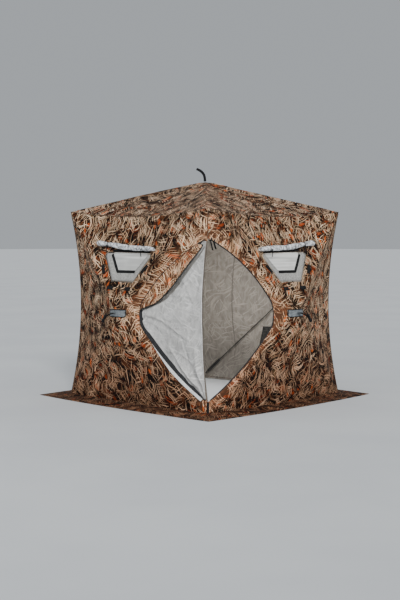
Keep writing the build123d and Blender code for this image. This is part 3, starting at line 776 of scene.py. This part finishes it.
def clipped_faces(flat, field, cells):
    """Faces of a square grid where the field is positive, and its points with those on the edge.

    Cells on the grid's two diagonals are split along them.
    """
    side = cells + 1
    points = [tuple(p) for p in flat]
    cut = {}
    faces = []

    def crossing(i, j):
        key = (min(i, j), max(i, j))
        if key not in cut:
            t = field[i] / (field[i] - field[j])
            cut[key] = len(points)
            points.append(tuple(flat[i] + t * (flat[j] - flat[i])))
        return cut[key]

    for r in range(cells):
        for c in range(cells):
            k = (r * side + c, r * side + c + 1, (r + 1) * side + c + 1, (r + 1) * side + c)
            inside = [field[i] > 0 for i in k]
            if all(inside) and r == c:
                faces += [(k[0], k[1], k[2]), (k[0], k[2], k[3])]
            elif all(inside) and r + c == cells - 1:
                faces += [(k[0], k[1], k[3]), (k[1], k[2], k[3])]
            elif all(inside):
                faces.append(k)
            elif any(inside):
                ring = []
                for n, i in enumerate(k):
                    j = k[(n + 1) % 4]
                    if inside[n]:
                        ring.append(i)
                    if inside[n] != inside[(n + 1) % 4]:
                        ring.append(crossing(i, j))
                if len(ring) > 2:
                    faces.append(tuple(ring))
    used = sorted({i for f in faces for i in f})
    renumber = {i: k for k, i in enumerate(used)}
    return np.array([points[i] for i in used]), [tuple(renumber[i] for i in f) for f in faces]


def wall_sheet(wall):
    """One wall's cloth, camouflage outside and taupe inside, with its openings cut out."""
    q, s = square_grid(WALL_CELLS)
    edge = rim(q)
    s = s * (1 - SEAM_BACK)
    flat = np.stack([s * edge[:, 0], HUB_Z + s * (edge[:, 1] - HUB_Z)], -1)
    field = -inside_depth(flat, patch_region())
    if wall in DOOR_WALLS:
        field = np.minimum(field, -inside_depth(flat, door_region()))
        field = np.minimum(field, -inside_depth(flat, rounded(WINDOW, 0.02)) - 0.012)
    flat, faces = clipped_faces(flat, field, WALL_CELLS)
    sheet = sewn(f"{wall}_wall_cloth", on_wall(flat, wall), faces, [CAMO[wall], LINING],
                 outward(wall), CLOTH, flat, [f"{wall}_wall"])
    cut_area(flat, faces)
    bend_wall(sheet, wall)


for wall in WALLS:
    wall_sheet(wall)


# ---- roof -------------------------------------------------------------------------------------
def roof_sheet():
    """Four roof gores under one skin, with creases that fan out from the peak and the corners."""
    q, s = square_grid(ROOF_CELLS)
    side = np.floor(q % 4).astype(int)
    t = q % 4 - side
    x, y = round_sides(side, HALF * (2 * t - 1), HALF - EAVE_PULL * bow(t))
    s = s * (1 - SEAM_BACK)
    x, y = s * x, s * y
    ripple = 0.003 * waves(x, y, 7, 21) + 0.0012 * waves(x, y, 20, 22)
    fans = 0.004 * creases(x, y, (0, 0), 21, 2)
    for cx in (-HALF, HALF):
        for cy in (-HALF, HALF):
            fans = fans + 0.004 * creases(x, y, (cx, cy), 24, cx + 2 * cy, far=0.3)
    smooth = PEAK + s * (EAVE - EAVE_DIP * bow(t) - PEAK) \
        - 0.010 * np.exp(-(np.hypot(x, y) / 0.06) ** 2)
    z = smooth + (ripple + fans) * np.clip((1 - s) / 0.08, 0, 1)
    flat, faces = clipped_faces(np.stack([x, y], -1), np.ones(len(x)), ROOF_CELLS)
    points = np.stack([x, y, z], -1)
    roof = sewn("roof_cloth", points, faces, [CAMO["roof"], LINING], UP, CLOTH, flat,
                ["roof", "roof_hub_patch"])
    bend_as(roof, np.concatenate([points, points]))


roof_sheet()


# ---- skirt ------------------------------------------------------------------------------------
def skirt_sheet():
    """Snow skirt: a band of cloth lying round the foot, rippled between its pegged corners."""
    rows, per_side = 16, 120
    q = np.arange(4 * per_side) / per_side
    side = np.floor(q).astype(int)
    t = q - side
    b = bow(t)
    verts = []
    for i in range(rows):
        w = i / (rows - 1)
        along = (HALF * (1 - w) + SKIRT_CORNER * w) * (2 * t - 1)
        out = (HALF + FOOT_BULGE * b - 0.004) * (1 - w) + (SKIRT_CORNER + SKIRT_BULGE * b) * w
        x, y = round_sides(side, along, out)
        lift = 0.012 * (waves(x, y, 16, 31) + 1) * math.sin(math.pi * min(1, w * 1.1)) * b ** 0.5
        hem = 0.003 if i in (rows - 2, rows - 3) else 0
        drape = 0.020 * (1 - w) ** 3
        verts.append(np.stack([x, y, 0.0045 + np.maximum(lift, 0) + hem + drape], -1))
    verts, faces = np.concatenate(verts), grid_faces(rows, 4 * per_side, True)
    skirt = sewn("skirt_cloth", verts, faces, [CAMO["skirt"], LINING], UP, CLOTH, verts,
                 ["skirt"])
    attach(skirt, "root")


skirt_sheet()


# ---- seams ------------------------------------------------------------------------------------
def seam_tapes():
    """Bound seams along the corners and the eaves. The corner at the door has none there."""
    t = np.linspace(0, 1, 120)
    for wall in WALLS:
        corner = world(rim(1 + t) * ((-1, 1, 1) if wall == "right" else 1), wall)
        z = corner[:, 2]
        spans = {"": (0.04, EAVE - 0.01)}
        if wall == "front":
            spans = {"_low": (0.03, DOOR_FOOT), "_high": (DOOR_TOP, EAVE - 0.01)}
        lines = {f"corner_seam_{wall}{part}": corner[(z > low) & (z < high)]
                 for part, (low, high) in spans.items()}
        lines[f"eave_seam_{wall}"] = world(rim(2 + t), wall)
        for name, line in lines.items():
            hang(tube(name, line, SEAM_RADIUS, BINDING))


seam_tapes()


# ---- door -------------------------------------------------------------------------------------
def seam_uz(z):
    """The corner seam's u and n at height z."""
    t = z / EAVE
    pull = CORNER_PULL * bow(t)
    return HALF - pull, -pull


def fold_plane():
    """A point and the normal of the plane that the folded flap is mirrored in."""
    step = FOLD_OUT[0] / math.sqrt(2)
    ends = []
    for z in (DOOR_TOP, DOOR_FOOT):
        u, n = seam_uz(z)
        ends.append(np.array((u + step, -(HALF + n) - step, z)))
    top, foot = ends
    u, z = DOOR_CORNER
    corner = np.array((u, -(HALF + height(u, z) + FOLD_OUT[1]), z))
    return foot, unit(np.cross(top - foot, corner - foot))


FOLD_POINT, FOLD_NORMAL = fold_plane()


def mirrored(points):
    """Points mirrored in the fold plane, from the shut shape to where the flap lies folded."""
    offset = (points - FOLD_POINT) @ FOLD_NORMAL
    return points - 2 * offset[:, None] * FOLD_NORMAL


def between(start, stop, share):
    """Points at shares of the way from one line of points to another."""
    return start * (1 - share) + stop * share


def cut_line(grow, tip_cut):
    """The door's outline moved sideways and cut short at both tips."""
    line = shifted(door_line(600), grow)
    return line[(line[:, 1] < DOOR_TOP - tip_cut) & (line[:, 1] > DOOR_FOOT + tip_cut)]


def door_grid(rows, columns, grow, tip_cut, slack=0.0):
    """Grid over a door half: rows from the outline to the seam, columns from top to bottom.

    Slack draws the seam edge towards the wall's middle, most at half height. The seam's points
    are spread evenly, so that the rows fan out from both tips.
    """
    line = resample(cut_line(grow, tip_cut), columns)
    z = np.linspace(line[0, 1], line[-1, 1], columns)
    share = np.linspace(0, 1, rows)[:, None]
    drawn = slack * bow((z - z[-1]) / (z[0] - z[-1]))
    seam = np.stack([seam_uz(z)[0] - SEAM_BACK - drawn, z], -1)
    return between(line, seam, share[..., None]), share * np.ones(columns)


FRONT = outward("front")
PANEL_SLACK = 0.046     # how far the open corner's cloth is drawn away from the fold
FLAP_SLACK = -0.018
PANEL_GRID = (36, 110)  # rows and columns of the two door halves
FLAP_GRID = (64, 150)


def left_panel():
    """The fixed door half, which lies behind the folded one."""
    flat, _ = door_grid(*PANEL_GRID, -0.001, 0.004, PANEL_SLACK)
    faces = grid_faces(*PANEL_GRID)
    panel = sewn("door_left_cloth", on_wall(flat, "front"), faces, [CAMO["front"], LINING], FRONT,
                 CLOTH, flat, ["door_left_panel"])
    cut_area(flat, faces)
    bend_wall(panel, "front")


left_panel()

# Tension creases of the folded half: centre, height, count, seed, where they start, reach.
FLAP_FANS = (
    ((0.87, DOOR_TOP), 0.0090, 15, 0.4, 0.08, 0.55),
    ((0.88, DOOR_FOOT), 0.0110, 17, 1.9, 0.08, 0.60),
    (DOOR_CORNER, 0.0080, 13, 3.1, 0.06, 0.35),
)
FLAP_RIDGES = (         # sharp creases of the folded half: two ends, height
    ((0.26, 0.84), (0.80, 0.62), 0.008), ((0.26, 0.80), (0.62, 0.52), -0.005),
    ((0.84, 1.36), (0.46, 0.76), 0.007), ((0.85, 1.30), (0.66, 0.60), -0.006),
    ((0.40, 0.96), (0.82, 1.02), 0.007), ((0.45, 1.02), (0.80, 1.14), -0.005),
    ((0.86, 0.20), (0.40, 0.70), 0.007), ((0.86, 0.22), (0.60, 0.72), -0.006),
    ((0.86, 0.24), (0.74, 0.80), 0.006), ((0.52, 0.52), (0.82, 0.44), 0.005),
    ((0.30, 0.72), (0.78, 0.80), -0.004), ((0.62, 1.16), (0.82, 0.90), 0.006),
)


def ridges(u, z):
    """Sum of sharp creases, each a ridge along a line that dies away at both ends."""
    total = 0 * u
    for (u0, z0), (u1, z1), rise in FLAP_RIDGES:
        du, dz = u1 - u0, z1 - z0
        size = math.hypot(du, dz)
        along = ((u - u0) * du + (z - z0) * dz) / size ** 2
        across = ((u - u0) * dz - (z - z0) * du) / size + 0.02 * np.sin(5 * along)
        ends = np.clip(along / 0.15, 0, 1) * np.clip((1 - along) / 0.25, 0, 1)
        total = total + rise * ends * np.exp(-np.abs(across) / 0.009)
    return total


def flap_points(uz, edge_share, lift=0.0):
    """Where the folded flap lies: mirrored, and drawn back towards the wall along its edge."""
    uz, w = uz.reshape(-1, 2), edge_share.reshape(-1)
    lying = on_wall(uz, "front")
    hold = ((1 - np.clip(w / 0.75, 0, 1)) ** 1.6)[:, None]
    base = between(mirrored(lying), lying + 0.013 * FRONT, hold)
    u, z = uz.T
    folds = 0.0080 * waves(u, z, 9, 41) + 0.0032 * waves(u, z, 30, 43) + 2.2 * ridges(u, z)
    for centre, rise, *fan in FLAP_FANS:
        folds = folds + rise * creases(u, z, centre, *fan)
    free = np.clip(w / 0.10, 0.12, 1) * np.clip((1 - w) / 0.05, 0.25, 1)
    return base + (np.maximum(folds * free, -0.006) + np.ravel(lift))[:, None] * FRONT


def flap_sheet():
    """The folded door half, its grey inner side showing, with bright tape down the fold."""
    flat, share = door_grid(*FLAP_GRID, -0.004, 0.022, FLAP_SLACK)
    points = flap_points(flat, share)
    faces = grid_faces(*FLAP_GRID)
    flap = sewn("door_flap_cloth", points, faces, [FLAP_CLOTH, CAMO["right"]], FRONT, CLOTH, flat,
                ["door_flap"])
    cut_area(flat, faces)
    tape = sewn("door_fold_tape", flap_points(flat[-2:], share[-2:], 0.0022),
                grid_faces(2, FLAP_GRID[1]), [STORM_CLOTH], FRONT, TAPE, flat[-2:])
    for piece in (flap, tape):
        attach(piece, "door_flap")
    return points.reshape(*FLAP_GRID, 3)[-1]


fold_edge = flap_sheet()


def fold_strip():
    """Cloth that joins the fixed half's seam to the flap's fold."""
    rows, z = 9, fold_edge[:, 2]
    t = np.clip(z, DOOR_FOOT, DOOR_TOP)
    drawn = PANEL_SLACK * bow((t - t[-1]) / (t[0] - t[-1]))
    seam = on_wall(np.stack([seam_uz(t)[0] - SEAM_BACK - drawn, t], -1), "front", -0.002)
    w = np.linspace(0, 1, rows)[:, None, None]
    sag = 0.006 * np.sin(math.pi * w) * np.array((1, 1, 0)) / math.sqrt(2)
    share = w[..., 0] * np.ones(len(z))
    strip = sewn("door_fold_strip", between(seam, fold_edge, w) + sag, grid_faces(rows, len(z)),
                 [STRIP_CLOTH, CAMO["front"]], (1, 0, 0), STRIP,
                 np.stack([0.1 * share, z * np.ones_like(share)], -1))
    spread = np.tile(share.ravel(), 2)[:, None]
    bend_as(strip, seam[0] + spread * FRONT)


fold_strip()


def flap_band(name, start, inner, outer, lift, materials, node, taper=0):
    """A tape along the flap's free edge, from a share of the outline's length to its end."""
    line = cut_line(0, 0.024)
    line = resample(line[int(start * len(line)):], 150)
    grow = np.clip(np.linspace(0, 1, len(line)) / taper, 0, 1)[:, None] if taper else 1
    near, far = shifted(line, inner), shifted(line, outer)
    flat = np.stack([near + (far - near) * grow * s for s in np.linspace(0, 1, 7)])
    band = sewn(name, flap_points(flat, np.zeros(flat.shape[:2]), lift), grid_faces(7, 150),
                materials, FRONT, TAPE, flat, [node])
    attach(band, "door_flap")


def wall_band(name, wall, line, inner, outer, lift, material, rows=6, nodes=()):
    """A tape that lies on a wall's cloth along a line."""
    flat = np.stack([shifted(line, s) for s in np.linspace(inner, outer, rows)])
    band = sewn(name, on_wall(flat, wall, lift), grid_faces(rows, len(line)), [material],
                outward(wall), TAPE, flat, nodes)
    bend_wall(band, wall)
    return band


def draught_strip():
    """Camouflage strip on the folded half's upper edge, with black piping, grey facing and painted
    shadow.
    """
    edge_u, edge_z = np.array(DRAUGHT_EDGE).T
    (outline, seam), _ = door_grid(2, 260, -0.002, 0.020, FLAP_SLACK)
    steps = np.linspace(0, 1, 500)
    ends = []
    for start, stop in zip(outline, seam):
        points = start + steps[:, None] * (stop - start)
        under = points[:, 1] < np.interp(points[:, 0], edge_u, edge_z)
        ends.append(steps[np.argmax(under)] if under.any() else 0)
    ends = np.array(ends)
    keep = np.arange(len(ends)) < np.argmax(ends[20:] < 0.004) + 20
    outline, seam, ends = outline[keep], seam[keep], ends[keep]

    r = np.linspace(0, 1, 22)[:, None]
    share = r * ends
    grid = outline + share[..., None] * (seam - outline)
    lift = 0.006 + 0.026 * np.sin(r * math.pi / 2) * np.minimum(1, ends / 0.08)
    lift[0] -= 0.010
    points = flap_points(grid, share).reshape(*share.shape, 3) + lift[..., None] * FRONT
    faces = grid_faces(*share.shape)
    strip = sewn("flap_draught_cloth", points, faces, [CAMO["front"], FACING_AND_SHADOW], FRONT, STRIP, grid,
                 ["flap_draught_strip"])
    cut_area(grid, faces)
    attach(strip, "door_flap")
    piping = tube("flap_draught_piping", points[-1] + 0.001 * FRONT, 0.0042, PIPING, sides=6)
    hang(piping, body="door_flap")

    # painted shadow: a dark grey band on the flap just below the strip's edge
    wide = np.interp(np.linspace(0, 1, len(ends)), (0, 0.3, 0.75, 1), (0.006, 0.020, 0.042, 0.016))
    reach = np.linalg.norm(seam - outline, axis=1)
    r = np.linspace(0, 1, 8)[:, None]
    share = np.clip(ends - 0.01 + r * (wide / reach), 0, 1)
    grid = outline + share[..., None] * (seam - outline)
    shadow_band = sewn("flap_draught_shadow_band", flap_points(grid, share, 0.0022),
                  grid_faces(*share.shape), [FACING_AND_SHADOW], FRONT, 0.001, grid)
    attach(shadow_band, "door_flap")


def corner_strap():
    """Black webbing from the door's foot tip down the corner to the skirt."""
    z = np.linspace(DOOR_FOOT - 0.004, 0.012, 16)
    u, n = seam_uz(z)
    out, across = np.array(((1, -1, 0), (1, 1, 0))) / math.sqrt(2)
    line = world(np.stack([u, z, n], -1), "front") + out * 0.010
    webbing = ribbon("corner_strap", line, across, out, 0.022, 0.005, WEBBING)
    hang(webbing)


def gusset():
    """Small dark gusset behind the right wall's edge at the door's corner."""
    corners = np.array([(0.325, 0.722), (0.256, 0.716), (0.384, 0.536)])
    verts = np.concatenate([on_wall(corners, "right", -0.012), on_wall(corners, "right", -0.016)])
    faces = [(0, 1, 2), (5, 4, 3), (0, 3, 4, 1), (1, 4, 5, 2), (2, 5, 3, 0)]
    piece = make("door_gusset", verts, faces, [PIPING], smooth=False)
    hang(piece, wall="right")


def door_trim():
    """Zip halves on the flap and on both walls, storm strip and draught strip."""
    flap_band("flap_zip_tape_cloth", 0.0, -0.036, -0.002, 0.0060, [ZIP], "flap_zip_tape")
    flap_band("flap_storm_strip_cloth", 0.64, 0.000, 0.024, 0.0055,
              [STORM_CLOTH, CAMO["right"]], "flap_storm_strip", taper=0.45)
    line = door_line(320)[4:-4]
    edge = flap_points(shifted(line, -0.003), np.zeros(len(line)), 0.0045)
    hang(tube("flap_zip_coil", edge, 0.0024, ZIP, sides=6), body="door_flap")
    draught_strip()
    for wall, cloth, nodes in (("front", BINDING, ["zip_tapes"]), ("right", ZIP, ())):
        wall_band(f"{wall}_zip_tape", wall, line, -0.003, 0.006, 0.0022, cloth,
                  nodes=nodes)
        coil = tube(f"{wall}_zip_coil", on_wall(shifted(line, -0.002), wall, 0.002), 0.0022,
                    cloth, sides=6)
        hang(coil, wall=wall)


door_trim()
corner_strap()
gusset()


# ---- windows ----------------------------------------------------------------------------------
def ring_sheet(name, wall, outer, inner, lift, material, nodes, rows=5):
    """Flat ring of cloth on a wall between two outlines with equal counts of points."""
    flat = between(inner, outer, np.linspace(0, 1, rows)[:, None, None])
    ring = sewn(name, on_wall(flat, wall, lift), grid_faces(rows, len(outer), closed=True),
                [material], outward(wall), 0.0015, flat, nodes)
    bend_wall(ring, wall)


def roll_points(wall):
    """The rolled cover's axis on a wall, with the sag and twist of rolled cloth."""
    t = np.linspace(0, 1, 90)
    (u0, z0), (u1, z1) = ROLL_ENDS
    u, z = u0 + (u1 - u0) * t, z0 + (z1 - z0) * t
    n0, n1 = (height(*end, SEED[wall]) for end in ROLL_ENDS)
    n = n0 + (n1 - n0) * t + ROLL_RADIUS + 0.004
    z = z - 0.007 * np.sin(math.pi * t) + 0.003 * np.sin(9 * t)
    n = n - 0.010 * np.sin(math.pi * t)
    return world(np.stack([u, z, n], -1), wall), t


def cover_roll(wall):
    """The window cover rolled up and tied: a loose spiral of cloth with pinches at the ties."""
    line, t = roll_points(wall)
    around = 56
    a = np.linspace(0, 4.4 * math.pi, around)       # 2.2 turns
    spiral = 0.45 + 0.55 * a / a[-1]
    rings = []
    for centre, along, place in zip(line, unit(np.gradient(line, axis=0)), t):
        side = square_to(along, outward(wall))
        up = np.cross(side, along)
        pinch = sum(0.30 * math.exp(-((place - c) / 0.025) ** 2) for c in TIES)
        puff = 1.02 + 0.09 * math.sin(17 * place + 1) + 0.05 * math.sin(41 * place)
        taper = 1 - 0.30 * max(0.0, (place - 0.9) / 0.1) - 0.15 * max(0.0, (0.05 - place) / 0.05)
        lump = 1 + 0.07 * np.sin(3 * a + 9 * place) + 0.04 * np.sin(7 * a - 21 * place)
        radius = ROLL_RADIUS * (puff - pinch) * taper * spiral * lump
        turned = np.cos(a)[:, None] * side + np.sin(a)[:, None] * up
        rings.append(centre + radius[:, None] * turned)
    roll = make(f"{wall}_cover_roll", np.concatenate(rings), grid_faces(len(t), around),
                [COVER_CLOTH_AND_SHADE])
    thicken(roll, 0.0012)
    hang(roll, [f"{wall}_window_cover_roll"], wall)


def window_ties(wall):
    """Webbing ties round the roll, each with a loose tail."""
    line, t = roll_points(wall)
    a = np.linspace(0, 2 * math.pi, 33)[:, None]
    drop = np.linspace(0, 1, 8)[:, None]
    pieces = []
    for place in TIES:
        i = int(place * (len(t) - 1))
        along = unit(line[i + 1] - line[i])
        side = square_to(along, outward(wall))
        normal = np.cos(a) * side + np.sin(a) * np.cross(side, along)
        pieces.append(ribbon("tie", line[i] + normal * ROLL_RADIUS * 0.74, along, normal, 0.014,
                             0.0016, WEBBING))
        tail = line[i] + side * ROLL_RADIUS * (0.8 + 0.5 * np.sin(2 * drop)) \
            + np.array((0, 0, -0.075)) * drop + along * 0.012 * drop
        pieces.append(ribbon("tail", tail, along, side, 0.010, TAPE, WEBBING))
    return pieces


def window_tabs(wall):
    """Hook-and-loop tabs round the window that hold the cover when it is down."""
    pieces = []
    for u, z, angle in TABS:
        a = math.radians(angle)
        along = np.array((math.cos(a), math.sin(a)))
        across = np.array((-along[1], along[0]))
        reach = 0.043 if angle else 0.034
        flat = np.array([(u, z) + along * i + across * j for i in np.linspace(-reach, reach, 14)
                         for j in np.linspace(-0.015, 0.015, 5)])
        pieces.append(sewn("tab", on_wall(flat, wall, 0.0075), grid_faces(14, 5), [WEBBING],
                           outward(wall), 0.0055))
    return pieces


def window(wall):
    """Border, pane, tape, header, rolled cover, ties and tabs of one window."""
    rows, count = 24, 120
    outer = closed_resample(rounded(WINDOW, 0.018), count)
    glass = closed_resample(rounded(PANE, 0.014), count)
    ring_sheet(f"{wall}_window_surround", wall, outer, grown(glass, -0.003), 0.0030,
               WINDOW_CLOTH, [f"{wall}_window_border"])
    for part, corners, points, inner, outer, lift, nodes in (
            ("binding", WINDOW_TAPE, 90, -0.013, 0.012, 0.0050, [f"{wall}_window_tape"]),
            ("header", WINDOW_HEADER, 60, -0.010, 0.010, 0.0052, ())):
        wall_band(f"{wall}_window_{part}", wall, resample(corners, points), inner, outer, lift,
                  WEBBING, nodes=nodes)
    centre = glass.mean(0)
    flat = between(centre, grown(glass, 0.004), np.linspace(0, 1, rows)[:, None, None])
    ripple = 0.0025 * waves(flat[..., 0].ravel(), flat[..., 1].ravel(), 14, 51)
    points = on_wall(flat, wall, 0.0012) + ripple[:, None] * outward(wall)
    pane = make(f"{wall}_window_film", points, grid_faces(rows, count, closed=True), [FILM])
    merge_doubles(pane)
    face_outward(pane, outward(wall))
    thicken(pane, 0.0006)
    hang(pane, [f"{wall}_window_pane"], wall)
    cover_roll(wall)
    straps = join(f"{wall}_window_ties_tabs", window_ties(wall) + window_tabs(wall))
    hang(straps, [f"{wall}_window_straps"], wall)


def merge_doubles(piece):
    """Merges doubled points."""
    mesh = bmesh.new()
    mesh.from_mesh(piece.data)
    bmesh.ops.remove_doubles(mesh, verts=mesh.verts, dist=1e-5)
    mesh.to_mesh(piece.data)
    mesh.free()


for wall in DOOR_WALLS:
    window(wall)


# ---- hub patches and pull straps --------------------------------------------------------------
def hub_patch(wall):
    """Reflective patch over a hub, bound in black."""
    count, rows = 96, 18
    outer = closed_resample(rounded(patch_region(0), 0.008), count)
    centre = np.array((0.0, PATCH_Z))
    flat = centre + (outer - centre) * np.linspace(0.02, 1, rows)[:, None, None]
    middle = centre + (outer - centre) * 0.021
    bound = np.stack([grown(outer, d) for d in (-0.004, -0.001, 0.002)])
    pieces = [sewn(name, on_wall(uz, wall, lift), faces, [material], outward(wall), CLOTH, cloth)
              for name, uz, lift, faces, material, cloth in (
                  ("patch", flat, 0.0030, grid_faces(rows, count, True), PATCH_CLOTH, flat),
                  ("patch_middle", middle, 0.0030, [tuple(range(count))], PATCH_CLOTH, None),
                  ("binding", bound, 0.0044, grid_faces(3, count, True), WEBBING, None))]
    hang(join(f"{wall}_hub_patch_cloth", pieces), [f"{wall}_hub_patch"], wall)


def bezier(points, count):
    """Smooth line through a few points."""
    p = np.asarray(points, float)
    curve = bpy.data.curves.new("route", "CURVE")
    curve.dimensions = "3D"
    spline = curve.splines.new("NURBS")
    spline.points.add(len(p) - 1)
    for point, co in zip(spline.points, p):
        point.co = (*co, 1)
    spline.order_u = 3
    spline.use_endpoint_u = True
    spline.resolution_u = 24
    holder = bpy.data.objects.new("route", curve)
    bpy.context.collection.objects.link(holder)
    graph = bpy.context.evaluated_depsgraph_get()
    mesh = bpy.data.meshes.new_from_object(holder.evaluated_get(graph))
    line = np.array([v.co for v in mesh.vertices])
    bpy.data.objects.remove(holder)
    bpy.data.curves.remove(curve)
    bpy.data.meshes.remove(mesh)
    return resample(line, count)


def strap(name, route, across, width, node, body):
    """A doubled webbing pull: two layers that part near the end, sewn at the root."""
    line = bezier(route, 40)
    tangent = unit(np.gradient(line, axis=0))
    side = square_to(tangent, np.asarray(across, float))
    up = np.cross(side, tangent)
    t = np.linspace(0, 1, len(line))[:, None]
    pieces = []
    for sign in (-1, 1):
        gap = sign * (0.0012 + 0.007 * np.sin(math.pi * t) ** 2)
        twist = 0.35 * sign * t
        turned = side * np.cos(twist) + up * np.sin(twist)
        pieces.append(ribbon("layer", line + up * gap, turned, np.cross(turned, tangent), width,
                             0.0018, WEBBING))
    pieces.append(ribbon("stitch", line[1:5], side[2], up[2], width * 1.08, 0.0062, WEBBING))
    hang(join(name, pieces), [node], body=body)


WALL_STRAP = ((0, -0.012, 0.000), (0.000, -0.010, 0.050), (0.004, -0.022, 0.105),
              (0.010, -0.060, 0.140), (0.006, -0.084, 0.146))
ROOF_STRAP = ((0, 0, -0.004), (-0.002, 0.000, 0.045), (-0.020, -0.016, 0.085),
              (-0.050, -0.038, 0.108), (-0.064, -0.050, 0.116))

for wall in WALLS:
    hub_patch(wall)
    route = world([(u, HUB_Z + z, HUB_OUT + n) for u, z, n in WALL_STRAP], wall)
    across = world([(1, 0, 0)], wall)[0] - world([(0, 0, 0)], wall)[0]
    strap(f"{wall}_pull_webbing", route, across, 0.030, f"{wall}_pull_strap", f"{wall}_hub")
strap("roof_pull_webbing", [(x, y, PEAK + z) for x, y, z in ROOF_STRAP], (0.72, 0.69, 0), 0.024,
      "roof_pull_strap", "roof_hub")


# ---- frame, skirt tabs and sliders ------------------------------------------------------------
def paint(node, material):
    """Gives a carried-over CAD node its material."""
    target = frame["nodes"][node]
    for holder in target.material_slots:
        holder.material = material
    if not target.material_slots:
        target.data.materials.append(material)


for node in frame["nodes"]:
    if "_pole_" in node:
        paint(node, FIBREGLASS)
    elif node.endswith("_hub"):
        paint(node, NYLON)
paint("corner_seats", RUBBER)
paint("zip_sliders", SLIDER)
paint("skirt_tabs", WEBBING)


def slider_pulls():
    """Webbing pulls that hang from the two parked zip sliders over the door's top tip."""
    steps = np.linspace(0, 1, 10)[:, None]
    out = unit((1.0, -0.4, 0))
    pieces = []
    for place, length in (((0.855, 1.470), 0.090), ((0.828, 1.462), 0.072)):
        line = on_wall(place, "right", 0.013)[0] + steps * np.array((0.024, 0.006, -length)) \
            + np.array((0.005, -0.003, 0)) * np.sin(steps * 3)
        pieces.append(ribbon("pull", line, (-out[1], out[0], 0), out, 0.013, 0.004, WEBBING))
    hang(join("zip_pulls", pieces))


def lining_seams():
    """Flat seams of the lining inside the back and left walls."""
    for wall in ("back", "left"):
        for side, u in (("left", -0.515), ("right", 0.515)):
            line = np.stack([np.full(70, u), np.linspace(0.06, 1.60, 70)], -1)
            seam = wall_band(f"{wall}_lining_seam_{side}", wall, line, -0.005, 0.005, -0.0038,
                             LINING_SEAM, rows=3)
            seam.data.flip_normals()


lining_seams()
slider_pulls()


# ---- stage: floor, light and camera -----------------------------------------------------------
CAMERA_TURN = 43.9      # degrees round from the front wall
CAMERA_DISTANCE = 10.2
CAMERA_HEIGHT = 1.441
CAMERA_SHIFT = (-1 / 120, -0.095)
FOCAL = 64.35
LIGHTS = (              # kind, name, place, aim, size (an angle for the sun), strength
    ("SUN", "key", (6.9, -5.4, 5.6), (0, 0, 0.9), 0.30, 3.3),
    ("AREA", "fill", (1.6, -8.0, 4.5), (0, 0, 0.9), 4.0, 80),
    ("AREA", "inside", (0.15, -0.1, 1.30), (0.0, 0.6, 0.6), 0.4, 12),
)
SNOW = ((0.3, (0.62, 0.64, 0.66)), (0.7, (0.67, 0.69, 0.70)))


def stage():
    """Snow-coloured floor, grey sky and three lights."""
    bpy.ops.mesh.primitive_plane_add(size=400, location=(0, 0, 0))
    floor = bpy.context.object
    floor.name = "floor"
    shader = Shader("floor", 0.9)
    snow = shader.ramp(shader.noise(shader.object_place(), 0.7, 3), *SNOW)
    floor.data.materials.append(shader.colour(snow))
    sky = bpy.data.worlds.new("studio")
    sky.use_nodes = True
    sky.node_tree.nodes["Background"].inputs[0].default_value = (0.80, 0.85, 0.90, 1)
    sky.node_tree.nodes["Background"].inputs[1].default_value = 0.50
    bpy.context.scene.world = sky
    for kind, name, at, aim, size, power in LIGHTS:
        light = bpy.data.lights.new(name, kind)
        setattr(light, "angle" if kind == "SUN" else "size", size)
        light.energy = power
        holder = bpy.data.objects.new(name, light)
        holder.location = at
        holder.rotation_euler = (Vector(aim) - Vector(at)).to_track_quat("-Z", "Y").to_euler()
        bpy.context.collection.objects.link(holder)


def camera():
    """Level camera that looks at the blind across its door corner."""
    a = math.radians(CAMERA_TURN)
    data = bpy.data.cameras.new("camera")
    data.lens = FOCAL
    data.sensor_width = 36
    data.shift_x, data.shift_y = CAMERA_SHIFT
    holder = bpy.data.objects.new("camera", data)
    holder.location = (CAMERA_DISTANCE * math.sin(a), -CAMERA_DISTANCE * math.cos(a),
                       CAMERA_HEIGHT)
    holder.rotation_euler = (math.pi / 2, 0, a)
    bpy.context.collection.objects.link(holder)
    bpy.context.scene.camera = holder


stage()
camera()
